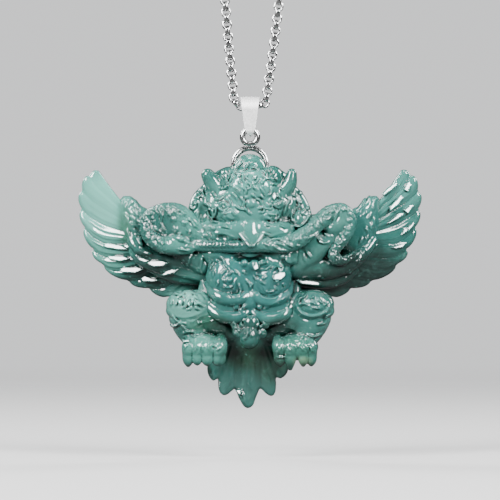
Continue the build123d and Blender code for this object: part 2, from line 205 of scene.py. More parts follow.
    def mesh(self, name):
        """Naive surface nets, with each point then set on the surface."""
        field = self.field
        inside = field < 0
        count = np.zeros(np.array(field.shape) - 1, np.int8)
        corners = list(itertools.product((0, 1), repeat=3))
        n = count.shape
        for i, j, k in corners:
            count += inside[i:i + n[0], j:j + n[1], k:k + n[2]]
        cells = np.argwhere((count > 0) & (count < 8))
        total = np.zeros(cells.shape)
        hits = np.zeros(len(cells))
        for a in corners:
            for way in range(3):
                if a[way]:
                    continue
                b = list(a)
                b[way] = 1
                fa = field[tuple((cells + a).T)]
                fb = field[tuple((cells + b).T)]
                crossed = (fa < 0) != (fb < 0)
                share = np.where(crossed, fa / np.where(crossed, fa - fb, 1), 0)
                place = np.array(a, float)[None, :] + share[:, None] * (np.array(b) - np.array(a))[None, :]
                total += place * crossed[:, None]
                hits += crossed
        points = cells + total / hits[:, None]
        number = np.full(n, -1, np.int64)
        number[tuple(cells.T)] = np.arange(len(cells))
        quads = []
        for way in range(3):
            u, v = (way + 1) % 3, (way + 2) % 3
            near = [slice(1, -1)] * 3
            far = [slice(1, -1)] * 3
            near[way], far[way] = slice(0, -1), slice(1, None)
            a, b = inside[tuple(near)], inside[tuple(far)]
            for leaving in (True, False):
                found = np.argwhere(a & ~b if leaving else ~a & b)
                shift = np.ones(3, int)
                shift[way] = 0
                base = found + shift
                eu, ev = np.zeros(3, int), np.zeros(3, int)
                eu[u], ev[v] = 1, 1
                ring = [base - eu - ev, base - ev, base, base - eu]
                if not leaving:
                    ring = ring[::-1]
                quads.append(np.stack([number[tuple(c.T)] for c in ring], 1))
        quads = np.vstack(quads)
        quads = quads[(quads >= 0).all(1)]
        for _ in range(2):
            value, slope = self.sample(points)
            move = value[:, None] * slope / (np.sum(slope * slope, 1)[:, None] + 1e-6)
            points = points - np.clip(move, -0.35, 0.35)
        place = (points + self.start) * self.step
        place[:, 2] += BEAK_LEVEL
        data = bpy.data.meshes.new(name)
        data.vertices.add(len(place))
        data.vertices.foreach_set("co", (place / 1000).astype(np.float32).ravel())
        data.loops.add(quads.size)
        data.loops.foreach_set("vertex_index", quads.astype(np.int32).ravel())
        data.polygons.add(len(quads))
        data.polygons.foreach_set("loop_start", np.arange(0, quads.size, 4, dtype=np.int32))
        data.polygons.foreach_set("use_smooth", np.ones(len(quads), bool))
        data.update(calc_edges=True)
        data.validate()
        print(name, "triangles:", 2 * len(quads))
        return data

    def sample(self, points):
        """The field, and its slope, at places counted in steps."""
        low = np.clip(np.floor(points).astype(int), 0, np.array(self.field.shape) - 2)
        t = np.clip(points - low, 0, 1)
        value = np.zeros(len(points))
        slope = np.zeros((len(points), 3))
        for corner in itertools.product((0, 1), repeat=3):
            held = self.field[tuple((low + corner).T)]
            near = np.where(corner, t, 1 - t)
            value += held * near.prod(1)
            for way in range(3):
                slope[:, way] += held * (2 * corner[way] - 1) * np.delete(near, way, 1).prod(1)
        return value, slope


def outline_distance(xs, zs, corners):
    """Distance to a closed outline, less than zero inside, for a grid of x and z."""
    px, pz = np.meshgrid(xs, zs, indexing="ij")
    best = np.full(px.shape, 1e9)
    inside = np.zeros(px.shape, bool)
    for a, b in zip(corners, np.roll(corners, -1, 0)):
        ex, ez = b - a
        wx, wz = px - a[0], pz - a[1]
        share = np.clip((wx * ex + wz * ez) / (ex * ex + ez * ez + 1e-12), 0, 1)
        best = np.minimum(best, (wx - share * ex) ** 2 + (wz - share * ez) ** 2)
        crosses = (a[1] > pz) != (b[1] > pz)
        inside ^= crosses & (px < ex * (pz - a[1]) / (ez if ez else 1e-9) + a[0])
    return np.where(inside, -1, 1) * np.sqrt(best)


class Relief:
    """A map of heights over the front, on the same grid as a block of clay."""

    def __init__(self, clay):
        self.clay = clay
        self.height = np.zeros((clay.size[0], clay.size[2]))

    def path(self, pixels, width, profile, steps=6):
        """Adds profile(along, across, whole length) within width millimetres of a curve through pixels."""
        rows = curve_through(np.reshape(pixels, (-1, 2)), steps)
        points = flat_spots(rows)
        xs, zs = self.clay.axis(0), self.clay.axis(2)
        ia, ib = np.searchsorted(xs, [points[:, 0].min() - width, points[:, 0].max() + width])
        ka, kb = np.searchsorted(zs, [points[:, 1].min() - width, points[:, 1].max() + width])
        if ib <= ia or kb <= ka:
            return
        px, pz = np.meshgrid(xs[ia:ib], zs[ka:kb], indexing="ij")
        best = np.full(px.shape, 1e9)
        along = np.zeros(px.shape)
        across = np.zeros(px.shape)
        travelled = 0.0
        for a, b in zip(points, points[1:]):
            ex, ez = b - a
            length = math.hypot(ex, ez) + 1e-9
            wx, wz = px - a[0], pz - a[1]
            share = np.clip((wx * ex + wz * ez) / length**2, 0, 1)
            gap = (wx - share * ex) ** 2 + (wz - share * ez) ** 2
            closer = gap < best
            best = np.where(closer, gap, best)
            along = np.where(closer, travelled + share * length, along)
            across = np.where(closer, (wx * ez - wz * ex) / length, across)
            travelled += length
        gap = np.sqrt(best)
        side = np.sign(across) * gap
        self.height[ia:ib, ka:kb] += np.where(gap < width, profile(along, side, travelled), 0)

    def stroke(self, height, width, *pixels):
        """A raised line, or a cut one if its height is less than zero, that thins out at both ends."""
        def profile(along, side, whole):
            ends = np.clip(4 * along / whole, 0, 1) * np.clip(4 * (1 - along / whole), 0, 1)
            ridge = np.exp(-np.abs(side / width) ** 1.5)
            beside = np.exp(-((np.abs(side) - 1.9 * width) / (0.7 * width)) ** 2)
            groove = 0.30 * beside if height > 0.3 else 0
            return height * (ridge - groove) * np.sqrt(ends * 0.9 + 0.1)
        self.path(pixels, 3.2 * width, profile)

    def dot(self, height, radius, px, py):
        """A round bump."""
        x, _, z = spot(px, py, 0)
        far = (self.clay.axis(0)[:, None] - x) ** 2 + (self.clay.axis(2)[None, :] - z) ** 2
        self.height += height * np.clip(1 - far / (1.25 * radius) ** 2, 0, 1) ** 0.7

    def spiral(self, height, width, px, py, radius):
        """A curl that winds in from a radius in pixels."""
        turns = np.linspace(0, 3.3 * math.pi, 14)
        reach = radius * (1 - 0.85 * turns / turns[-1])
        pixels = np.stack([px + reach * np.cos(turns), py + reach * np.sin(turns)], 1)
        self.stroke(height, width, *pixels.ravel())


# The wings. Each feather edge runs from under the arm to a notch in the outline, in the left wing's pixels.
feather_edges = [
    [(127, 206), (120.5, 200), (110.8, 188), (100.5, 173.5)],
    [(129, 215), (121, 209), (108, 197), (97, 187), (89.5, 176)],
    [(130, 223), (121, 219), (106, 210), (92, 201), (82.5, 191.5)],
    [(131, 233), (122, 231), (104, 225), (90, 217), (82, 209.5)],
    [(136, 242), (126, 243.5), (105, 243), (93, 237), (85, 228)],
    [(143, 251), (132, 256), (116, 258), (102, 256), (93, 249)],
    [(152, 259), (141, 266), (127, 270), (113, 270.5), (104, 264.5)],
    [(168, 262), (158, 270), (150, 276), (140, 280), (129, 280)],
    [(189, 268), (180, 276), (172, 283), (162, 288), (150, 288)],
    [(214, 277), (207, 284), (196, 292), (182, 297), (166, 297)],
]
# How far each feather's tip stands out past the line between its two notches, in millimetres.
tip_reach = [0.75, 0.75, 0.85, 0.85, 0.95, 0.95, 1.15, 0.9, 0.8]


def wing_map(step_s=1 / 44, step_t=1 / 330):
    """Points of the left wing's face in pixels, t of the way along its feathers and s feathers down."""
    edges = []
    t = np.linspace(0, 1, int(1 / step_t))
    for rows in feather_edges:
        fine = curve_through(rows, 12)
        run = np.concatenate([[0], np.cumsum(np.linalg.norm(np.diff(fine, axis=0), axis=1))])
        edges.append(np.stack([np.interp(t * run[-1], run, fine[:, i]) for i in (0, 1)], 1))
    edges = np.array(edges)
    s = np.arange(0, len(edges) - 1 + 1e-9, step_s)
    first = np.minimum(s.astype(int), len(edges) - 2)
    share = (s - first)[:, None, None]
    before = edges[np.maximum(first - 1, 0)]
    after = edges[np.minimum(first + 2, len(edges) - 1)]
    p1, p2 = edges[first], edges[first + 1]
    m1, m2 = (p2 - before) / 2, (after - p1) / 2
    face = ((2 * share**3 - 3 * share**2 + 1) * p1 + (share**3 - 2 * share**2 + share) * m1
            + (3 * share**2 - 2 * share**3) * p2 + (share**3 - share**2) * m2)
    heading = face[:, -1] - face[:, -28]
    heading /= np.linalg.norm(heading, axis=1)[:, None]
    chord = edges[first + 1, -1] - edges[first, -1]
    chord /= np.linalg.norm(chord, axis=1)[:, None]
    heading = 0.35 * heading + 0.75 * np.stack([-chord[:, 1], chord[:, 0]], 1)
    round_tip = np.sin(math.pi * np.clip(share[:, 0, 0], 0, 1) ** 0.8) ** 0.6
    reach = np.array(tip_reach)[first] * PIXELS_PER_MM * round_tip
    grow = smooth(0.75, 1.0, t) * t
    face = face + heading[:, None, :] * (reach[:, None] * grow[None, :])[:, :, None]
    return s, t, face


def feather_skin(s, t, upper, lower):
    """Height of the feathers' ribs, which are strong by a share upper at the wing's top and lower below."""
    inner = s - np.floor(s)
    strength = upper + (lower - upper) * smooth(2.2, 3.6, s)
    band = smooth(0.10, 0.20, t) * (1 - smooth(0.76, 0.88, t))
    swell = 0.40 * (np.sin(math.pi * inner) ** 0.55 - 0.6) * (0.12 + 0.88 * strength)
    turn = (2.5 * inner + 0.05 * np.sin(9 * t + 2 * s)) % 1.0
    sawtooth = 2.0 * turn - 1.0 - 1.9 * smooth(0.72, 1.0, turn)
    ribs = (0.13 + 0.03 * smooth(3.0, 7.0, s)) * sawtooth * band * strength
    return (swell * (1 - 0.25 * smooth(0.9, 1.0, t)) + ribs) * smooth(-0.02, 0.05, t)


# Flat faces along the feathers that shine in the photo: outline and depth.
left_wing_facets = [
    ([(94, 239.5), (104.5, 242.5), (121, 245.3), (129, 250), (118, 249.8), (104.5, 247.5)], 0.95),
    ([(101, 253), (110.7, 256), (123, 256), (130.5, 259), (119.5, 261.5), (109, 259.5)], 0.95),
    ([(110.7, 265.4), (121.5, 267.5), (137, 267), (144, 269.5), (135.5, 273), (121.5, 272.5)], 0.80),
    ([(139.5, 279), (144, 275.5), (152, 278.5), (160, 280), (153.5, 282), (143, 281.7)], 0.60),
]
right_wing_facets = [
    ([(382, 194), (387.5, 188), (404, 176), (407.5, 177), (392, 190.5), (384, 196)], 0.45),
    ([(404, 190), (407, 183), (412.6, 178), (412.8, 184), (409, 192)], 1.30),
    ([(390, 206), (400, 196), (407, 189), (406, 195), (399.5, 204.5), (390, 212)], 0.72),
    ([(404, 210), (410, 206), (417.3, 200), (415, 206), (409, 214)], 1.85),
    ([(388, 222.5), (396, 216), (404, 211), (407, 213.5), (399, 219), (389, 224)], 1.05),
    ([(408, 227), (417.5, 219.5), (414, 227), (408.5, 232.5)], 2.30),
    ([(401, 236), (404.5, 229), (409, 227), (407.5, 232.5)], 1.95),
    ([(392, 247.5), (400, 244.5), (408.8, 242), (404, 247.5), (396, 249)], 1.80),
]


def make_wing(side, upper, lower, step=0.16):
    """side is -1 for the left wing and 1 for the right one."""
    s, t, face = wing_map()
    x = (face[:, :, 0] - PHOTO_MIDDLE) / PIXELS_PER_MM
    z = (PHOTO_MIDDLE - face[:, :, 1]) / PIXELS_PER_MM
    if side > 0:
        x = -x
        z = z + 0.12 * smooth(0.4, 1.0, t)[None, :] * (1 - smooth(0.0, 2.5, s))[:, None]
    block = Clay([x.min() - 1, -1.5, z.min() - 1], [x.max() + 1, 8.0, z.max() + 1], step)
    xs, zs = block.axis(0), block.axis(2)
    ix = np.round(x / step).astype(int) - block.start[0]
    iz = np.round(z / step).astype(int) - block.start[2]
    weight = np.zeros((len(xs), len(zs)))
    s_map, t_map = np.zeros_like(weight), np.zeros_like(weight)
    np.add.at(weight, (ix, iz), 1)
    np.add.at(s_map, (ix, iz), np.broadcast_to(s[:, None], x.shape))
    np.add.at(t_map, (ix, iz), np.broadcast_to(t[None, :], x.shape))
    known = weight > 0
    s_map[known] /= weight[known]
    t_map[known] /= weight[known]
    for _ in range(10):
        total, sums, sumt = np.zeros_like(weight), np.zeros_like(weight), np.zeros_like(weight)
        for dx, dz in ((1, 0), (-1, 0), (0, 1), (0, -1)):
            beside = np.roll(known, (dx, dz), (0, 1))
            total += beside
            sums += np.where(beside, np.roll(s_map, (dx, dz), (0, 1)), 0)
            sumt += np.where(beside, np.roll(t_map, (dx, dz), (0, 1)), 0)
        fill = ~known & (total > 0)
        s_map[fill], t_map[fill] = (sums / np.maximum(total, 1))[fill], (sumt / np.maximum(total, 1))[fill]
        known = known | fill
    for _ in range(4):
        for grid in (s_map, t_map):
            grid[1:-1, 1:-1] = (2 * grid[1:-1, 1:-1] + grid[:-2, 1:-1] + grid[2:, 1:-1]
                                + grid[1:-1, :-2] + grid[1:-1, 2:]) / 6
    rim = np.concatenate([
        np.stack([x[0], z[0]], 1), np.stack([x[:, -1], z[:, -1]], 1),
        np.stack([x[-1], z[-1]], 1)[::-1], np.stack([x[:, 0], z[:, 0]], 1)[::-1]])[::5]
    edge_gap = outline_distance(xs, zs, rim)[:, None, :]
    s_map, t_map = s_map[:, None, :], t_map[:, None, :]
    middle = 1.1 + SET_BACK + (1.6 + 1.3 * smooth(1.2, 3.2, s_map)) * t_map - 0.3 * smooth(5.0, 9.0, s_map)
    half = 1.25 - 0.42 * t_map
    front = middle - half - feather_skin(s_map, t_map, upper, lower)
    back = middle + half * 0.9 + 0.5 * feather_skin(s_map, t_map, 0.5, 0.5)
    y = block.axis(1)[None, :, None]
    deep = np.maximum(front - y, y - back)
    round_edge = 0.6
    share = np.clip(0.5 - 0.5 * (edge_gap - deep) / round_edge, 0, 1)
    distance = edge_gap + (deep - edge_gap) * share + round_edge * share * (1 - share)
    block.field = distance.astype(np.float32)
    facets, lean = (right_wing_facets, 0.345) if side > 0 else (left_wing_facets, -0.316)
    for outline, deep in facets:
        block.facet(outline, deep, lean, 0.7)
    return block


def half_pixels(side):
    """Takes a pixel of the left half over to the half of that side: -1 is left and 1 is right."""
    return lambda px: PHOTO_MIDDLE + side * (PHOTO_MIDDLE - px)


def level(deep):
    """A map of one depth everywhere."""
    return lambda x, z: deep + 0 * x * z


def snake_skin(pitch, height, radius):
    """Scales that cross slantwise round a tube."""
    def profile(along, side, whole):
        wrap = np.arcsin(np.clip(side / radius, -1, 1)) * radius
        rows = np.abs(np.sin(math.pi * (along + wrap) / pitch) * np.sin(math.pi * (along - wrap) / pitch))
        return height * (rows ** 0.6 - 0.4)
    return profile


def add_arm(clay, side):
    """Coverts, folds of the wing, arm and bracelet of one side."""
    m = half_pixels(side)
    coverts = [(120, 199), (123, 195.5), (130, 195.5), (136, 199.5), (142, 206), (150, 210), (160, 214),
               (168, 240), (162, 254), (150, 262), (139, 262), (130, 253), (125, 242), (121.5, 230),
               (119.5, 215)]
    clay.plate([(m(px), py) for px, py in coverts], level(-0.3), level(2.5), 0.5, 1.8, dome=1.3)
    if side < 0:
        clay.tube([(129, 233, -0.1, 0.8), (135, 243, -1.0, 1.25), (146, 252, -1.6, 1.45),
                   (164, 258, -1.7, 1.7), (186, 262, -1.4, 1.9), (203, 266, -1.2, 2.0)], 0.25)
        clay.tube([(132, 252, 0.2, 0.8), (142, 260, -0.7, 1.3), (157, 264.5, -1.3, 1.6),
                   (176, 269, -1.2, 1.8), (197, 274, -0.9, 1.7), (210, 278, -0.8, 1.4)], 0.2)
        clay.tube([(150, 268, 0.4, 0.9), (164, 272.5, -0.4, 1.35), (180, 276, -0.5, 1.5),
                   (200, 280, -0.2, 1.2)], 0.2)
        clay.add_facets(left_arm_facets)
    else:
        clay.blob(313, 246, -3.0, (3.6, 2.2, 3.0), 0.5, lean=-35)
        clay.tube([(374, 240, 0.0, 0.9), (364, 252, -0.5, 1.4), (350, 262, -0.9, 1.9),
                   (328, 268, -1.2, 2.5), (306, 269, -1.3, 2.6), (290, 268, -1.2, 2.4)], 0.3)
        clay.tube([(356, 270, 0.5, 0.8), (342, 279, 0.0, 1.2), (325, 282.5, -0.6, 1.3),
                   (306, 281, -0.9, 1.3), (292, 278, -0.8, 1.2)], 0.2)
        clay.add_facets(right_arm_facets)
    clay.tube([(m(202), 265, -2.4, 1.9), (m(190), 257, -2.9, 2.0), (m(178), 246, -2.9, 1.9),
               (m(168), 234, -2.6, 1.8), (m(160), 222, -2.0, 1.6)], 0.5)
    clay.tube([(m(201), 251, -4.2, 0.8), (m(198.5), 259, -3.9, 1.25), (m(197), 267, -3.0, 1.0),
               (m(197), 273, -1.8, 0.5)], 0.25, flat=1.4)


def add_chest(clay):
    """Breast, belly, their rims and beads, and the collar."""
    clay.blob(250, 262, -2.8, (7.6, 3.8, 3.6), 0.8)
    clay.blob(230, 276, -3.0, (4.8, 3.7, 4.6), 0.5)
    clay.blob(270.5, 278, -3.2, (4.3, 3.8, 4.6), 0.4)
    for px in (217, 284):
        clay.blob(px, 257, -3.0, (2.8, 2.4, 2.2), 0.6)
    for px in (219, 281):
        clay.blob(px, 253.5, -3.5, (3.9, 2.6, 1.9), 0.5)
    clay.blob(250, 301, -3.9, (2.1, 2.0, 2.3), 0.3)
    clay.blob(230, 304, -2.9, (4.6, 2.6, 3.4), 0.4)
    clay.blob(271, 305, -2.9, (4.8, 2.6, 3.4), 0.4)
    for rim in (
        [(207, 283, -2.8, 0.6), (213, 292, -4.1, 1.1), (222, 297.5, -5.0, 1.3), (234, 299.5, -5.3, 1.3),
         (245, 296.5, -4.9, 1.1), (251, 289, -4.4, 0.5)],
        [(249.5, 286, -4.4, 0.6), (254, 295, -4.9, 1.0), (262, 300.5, -5.2, 1.05), (271, 301.5, -5.3, 1.05),
         (281, 298.5, -4.9, 1.05), (288, 292, -4.0, 0.9), (291.5, 283, -3.0, 0.5)],
        [(204, 283, -1.6, 0.9), (204, 295, -2.4, 1.2), (209, 307, -3.3, 1.3), (220, 315, -4.4, 1.35),
         (233, 317.5, -4.9, 1.3), (244, 314, -4.7, 1.05), (250, 307, -4.4, 0.6)],
        [(250, 307, -4.4, 0.6), (257, 315, -4.7, 1.05), (269, 318.5, -4.9, 1.3), (282, 315.5, -4.4, 1.35),
         (291, 307, -3.3, 1.25), (296, 295, -2.6, 1.0), (296, 283, -1.8, 0.8)],
    ):
        clay.tube(rim, 0.18)
    clay.blob(290, 260, -3.8, (1.7, 1.6, 1.1), 0.3)
    clay.blob(249, 257.5, -7.0, (3.7, 2.4, 1.05), 0.4, cut=True)
    clay.tube([(238, 251.5, -5.2, 0.35), (250, 254.5, -5.8, 0.7), (263, 251.5, -5.2, 0.35)], 0.2)
    for px, py, radius in ((244.5, 263, 0.8), (254.5, 264.5, 1.05), (262.5, 262.5, 0.7)):
        clay.blob(px, py, -6.2, (radius, radius, radius), 0.25)
    clay.add_facets(chest_facets)
    for px, py in ((236, 306.5), (241.3, 310), (244.8, 305.5), (251, 303), (259.5, 306.5), (266.5, 306)):
        clay.blob(px, py, -5.3, (0.6, 0.6, 0.6), 0.15)


def add_drop(clay):
    """The floral drop below the belly."""
    clay.blob(250, 328, -3.6, (2.9, 1.9, 3.2), 0.3)
    clay.blob(251, 322.5, -5.4, (1.6, 1.2, 1.6), 0.10)
    for px, py, radius in ((238, 332, 1.15), (233.5, 323, 0.8), (241, 325, 0.7), (265, 323.4, 1.05),
                           (261.5, 333, 1.1), (260, 327, 0.6), (235, 327.5, 0.65)):
        clay.blob(px, py, -4.9, (radius, 0.9, radius), 0.12)
    clay.tube([(249.8, 331, -5.0, 1.5), (249.8, 336, -5.0, 2.1), (249.6, 341, -4.6, 1.6),
               (249.5, 346, -4.1, 0.6)], 0.12)


def add_leg(clay, side, knee):
    """One leg, with its knee at pixel knee."""
    m = half_pixels(side)
    clay.tube([(m(224), 304, -0.4, 2.6), (m(207), 304, -1.5, 2.9), (knee, 306, -3.0, 3.3)], 0.6)
    clay.blob(knee, 304, -3.9, (4.1, 3.5, 2.9), 0.15)
    clay.blob(knee, 310.5, -3.5, (4.15, 3.3, 2.2), 0.35)
    clay.tube([(m(187), 317, -2.4, 3.6), (m(190), 327, -2.2, 3.1), (m(196), 338, -2.0, 2.6)], 0.3)
    clay.tube([(m(198), 315, -2.2, 2.7), (m(212), 322, -1.8, 2.7), (m(230), 331, -0.6, 2.5)], 0.8)
    clay.blob(m(204), 346.5, -4.1, (4.4, 2.7, 2.7), 0.2)
    toes = ((188.5, 366.2, 1.2), (197.5, 365.0, 1.1), (207.5, 365.2, 1.25), (219, 364.0, 1.5))
    if side > 0:
        toes = ((189.0, 365.7, 1.15), (197, 366.2, 1.1), (210, 369.5, 1.25), (220.5, 366.6, 1.3))
    for px, tip, radius in toes:
        lift = 0.5 if 190 < px < 215 else 0.0
        clay.tube([(m(px + 2), 339, -4.2 - lift, radius * 0.8),
                   (m(px + 0.5), 346, -5.4 - lift, radius * 1.12), (m(px), 353, -5.0 - lift, radius),
                   (m(px), 359, -4.7 - lift, radius * 0.92), (m(px), tip - 2, -4.2, radius * 0.42)], 0.22)


def add_tail(clay):
    """The fan tail, folded like pleats."""
    fan = [(226, 338), (214, 352), (208, 363), (207.3, 371), (209.5, 377.5), (213.5, 381), (217.6, 379.4),
           (218.2, 387), (219.2, 391), (221.2, 394.2), (224.5, 395.6), (228.5, 394), (233.8, 389.8),
           (236, 390.4), (238.5, 397.5), (242.3, 404.5), (244.8, 407.3), (248, 408.4), (251.3, 407.2),
           (253.8, 404), (256, 397.8), (259.3, 390.2), (261.5, 389.8), (266.5, 394.2), (270.5, 396.2),
           (273.5, 395.4), (275.6, 391.5), (276.2, 384), (276.4, 378.3), (281, 378.6), (286, 374.8),
           (288.3, 368), (285, 354), (274, 338)]

    def fold(x, z):
        return np.arctan2(x + 0.4, -(z + 9.0))

    def front(x, z):
        low_end = smooth(-18, -31, z)
        lobes = np.abs(np.cos(fold(x, z) * 10.5)) ** 0.8
        barbs = np.cos(fold(x, z) * 84) * (1 - smooth(-24, -28, z))
        return -0.6 + 0.7 * low_end - 0.32 * lobes - 0.05 * barbs

    def back(x, z):
        return 2.4 - 0.9 * smooth(-18, -31, z) + 0.3 * np.abs(np.cos(fold(x, z) * 10.5)) ** 0.8

    clay.plate(curve_through(fan, 4), front, back, 0.9, 0.8)


def carve_front(clay, carving):
    """Embosses the front of a block with the strokes and dots that carving puts on a relief."""
    relief = Relief(clay)
    carving(relief)
    clay.emboss(relief.height)


def web_back(x, z):
    """The back of the web: quills that fan out from the shoulder."""
    fan = np.arctan2(z - 6, np.abs(x) + 6)
    return 3.7 - 1.7 * smooth(8, 24, np.abs(x)) + 0.38 * np.abs(np.cos(22 * fan)) ** 0.7


def make_arms(step):
    """Both arms, the wings' coverts and the web behind them."""
    clay = Clay([-28, -6.5, -9.5], [28, 5.5, 12.0], step)
    for side in (-1, 1):
        web = ((30, 225), (62, 214), (101, 212), (122, 210), (120, 240), (105, 262), (80, 284), (45, 294),
               (25, 290))
        clay.plate([(PHOTO_MIDDLE + side * half, py) for half, py in web], level(0.6), web_back, 0.8, 1.8)
        add_arm(clay, side)
    carve_front(clay, carve_arms)
    return clay


def make_chest(step):
    """Back and chest."""
    clay = Clay([-10.8, -9.5, -16.5], [10.8, 9.0, 12.5], step)
    clay.blob(250, 262, 2.0, (7.2, 5.6, 12.5), 1.0)
    clay.blob(250, 276, -1.2, (8.8, 4.6, 7.6), 1.0)
    add_chest(clay)
    carve_front(clay, carve_chest)
    x, z = np.meshgrid(clay.axis(0), clay.axis(2), indexing="ij")
    row = np.floor(z / 2.3)
    column = x / 2.4 + 0.5 * (row % 2)
    far = np.hypot((column - np.round(column)) * 2.4, z - 2.3 * row - 1.5)
    clay.emboss(0.20 * np.sqrt(np.clip(1 - far / 1.7, 0, 1)) - 0.1, from_back=True)
    return clay


def make_legs(step):
    """Legs, feet, floral drop and tail."""
    clay = Clay([-18.5, -9.5, -32.3], [18.5, 9.0, -6.0], step)
    clay.blob(250, 325, 1.2, (5.2, 4.2, 6.5), 1.2)
    for side, knee in ((-1, 187), (1, 313.5)):
        add_leg(clay, side, knee)
    add_tail(clay)
    add_drop(clay)
    carve_front(clay, carve_legs)
    clay.add_facets(leg_facets)
    return clay


def beak_front(x, z):
    """The front of the beak, which is flatter on its right and rises to its ridge."""
    aside = x - 0.4
    flatter = 0.19 * smooth(2.6, 3.6, z) * np.maximum(aside, 0)
    return -6.5 - 0.28 * (7 - z) + flatter + 0.14 * np.abs(aside)


def add_skull(clay):
    """Crest, horns, mane, cheeks, eyes and beak, without their carving."""
    clay.blob(249, 201, -2.4, (9.3, 5.2, 7.4), 1.0)
    clay.blob(250, 181, -0.9, (8.0, 3.4, 3.5), 0.3)
    clay.blob(249.8, 168.5, -3.1, (3.25, 2.9, 2.85), 0.12)
    clay.blob(251, 188, -4.7, (5.9, 3.7, 4.0), 0.25)
    clay.blob(229.5, 178.5, -4.5, (2.3, 2.7, 2.2), 0.5)
    clay.blob(272, 177, -4.5, (2.3, 2.7, 2.2), 0.5)
    for side in (-1, 1):
        m = half_pixels(side)
        side_in = 1.5 if side > 0 else 0
        clay.tube([(m(210 + 2 * side_in), 193, -1.6, 2.2), (m(203 + 2 * side_in), 201, -1.6, 2.3),
                   (m(199 + side_in), 211, -1.7, 2.2), (m(198), 222, -1.8, 2.2)], 0.7)
        clay.blob(m(203), 224, -2.4, (2.8, 2.9, 3.0), 0.6)
        clay.blob(m(231), 214, -5.9, (2.2, 1.9, 1.5), 0.4)
        clay.blob(m(230), 206, -5.7, (2.6, 1.7, 0.9), 0.4, lean=side * -14)
        clay.blob(m(226), 230, -4.4, (4.6, 3.1, 2.1), 0.5)
        clay.blob(m(237), 230, -4.9, (2.7, 2.3, 2.5), 0.5)
        clay.blob(m(225), 236, -4.5, (5.0, 2.7, 1.7), 0.4)
        clay.blob(m(214), 205, -3.6, (2.2, 2.4, 3.2), 0.6)
    clay.tube([(219, 191, -4.2, 2.0), (213, 183, -4.6, 1.75), (208, 175.5, -4.8, 1.32)], 0.3)
    clay.tube([(283, 192, -4.2, 1.9), (289, 184, -4.6, 1.5), (291.5, 174, -4.8, 1.02)], 0.3)
    clay.blob(301, 220, -4.4, (2.0, 2.0, 2.1), 0.25)
    clay.blob(251, 203.5, -6.9, (1.35, 1.2, 1.2), 0.2)
    beak = [(247, 215), (242, 220), (240, 228), (244, 236.5), (248.5, 243.5), (252.2, 247.7),
            (255.5, 243.5), (260, 236.5), (264, 228.5), (262.5, 220.5), (257, 215)]
    clay.plate(beak, beak_front, level(-3.5), 0.25, 0.5)
    clay.tube([(236.5, 227, -5.7, 0.9), (242.5, 236.5, -6.9, 0.65), (250, 245.5, -8.1, 0.4)], 0.15)
    clay.tube([(267, 227, -5.7, 0.9), (261, 236.5, -6.9, 0.65), (254.2, 245.5, -8.1, 0.4)], 0.15)
    clay.blob(203, 213, -5.0, (1.2, 1.5, 1.9), 0.5, cut=True)
    clay.blob(221.5, 238, -7.4, (1.5, 1.0, 0.7), 0.3, cut=True)


def add_snake(clay):
    """The snake and the two hands that hold its coils."""
    clay.tube([(196, 245.5, -5.0, 1.2), (216, 246, -5.8, 1.3), (246, 246.5, -6.4, 1.35),
               (268, 245, -6.6, 1.5), (284, 244.5, -6.5, 1.75), (297, 240, -6.1, 1.8),
               (309, 231, -5.3, 1.7), (320, 221, -4.6, 1.65), (330, 213.5, -4.0, 1.65),
               (341, 211, -3.7, 1.55), (348.5, 217, -3.6, 1.35), (349, 228, -3.7, 1.25),
               (342.5, 240, -3.8, 1.2), (334.5, 250, -4.0, 1.15), (333.5, 258.5, -4.1, 1.1),
               (341, 261, -4.1, 1.0), (349, 257.5, -3.9, 0.85), (353.2, 254, -3.7, 0.6)], 0.3,
              skin=snake_skin(0.80, 0.14, 1.6))
    clay.plate([(320, 228), (330, 216), (341, 214), (347, 221), (344, 233), (336, 242), (326, 238)],
               level(-3.9), level(0.6), 0.5, 0.8, dome=0.9)
    clay.plate([(323, 229), (330, 218), (337, 210), (343, 209), (347, 214), (347, 224), (342, 232),
                (335, 235), (328, 234)], level(-4.6), level(-2.0), 0.5, 0.8, dome=0.9)
    clay.tube([(203, 239, -4.6, 1.5), (193, 227, -4.7, 1.9), (181, 216.5, -4.5, 2.2),
               (170, 212.5, -4.0, 2.0), (158, 212.5, -3.5, 1.5), (149.5, 217, -3.3, 1.35),
               (147, 227, -3.5, 1.4), (151, 237, -3.9, 1.55), (160, 243.5, -4.4, 1.75),
               (170, 245.5, -4.9, 2.0)], 0.35, skin=snake_skin(0.80, 0.15, 1.9))
    clay.plate([(149, 214), (160, 208), (172, 205), (187, 214), (203, 230), (208, 241), (198, 247),
                (176, 246), (163, 241), (151, 232)], level(-4.1), level(-0.5), 0.5, 1.0, dome=1.2)
    clay.plate([(163, 209), (172, 207), (186, 215), (199, 229), (205, 238), (196, 243), (178, 239),
                (167, 235), (162, 224)], level(-5.3), level(-2.0), 0.5, 0.8, dome=0.9)
    clay.blob(177, 245, -5.2, (3.1, 2.1, 2.15), 0.2, lean=5)
    clay.blob(187, 248.5, -5.4, (1.7, 1.5, 1.3), 0.25)
    clay.tube([(170, 239, -6.0, 0.35), (180, 238.5, -6.9, 0.6), (189, 243, -6.7, 0.4)], 0.12)


def make_snake(step):
    clay = Clay([-22.5, -10, -4.5], [22.5, 2.0, 10.5], step)
    add_snake(clay)
    carve_front(clay, carve_snake)
    clay.add_facets(snake_facets)
    return clay


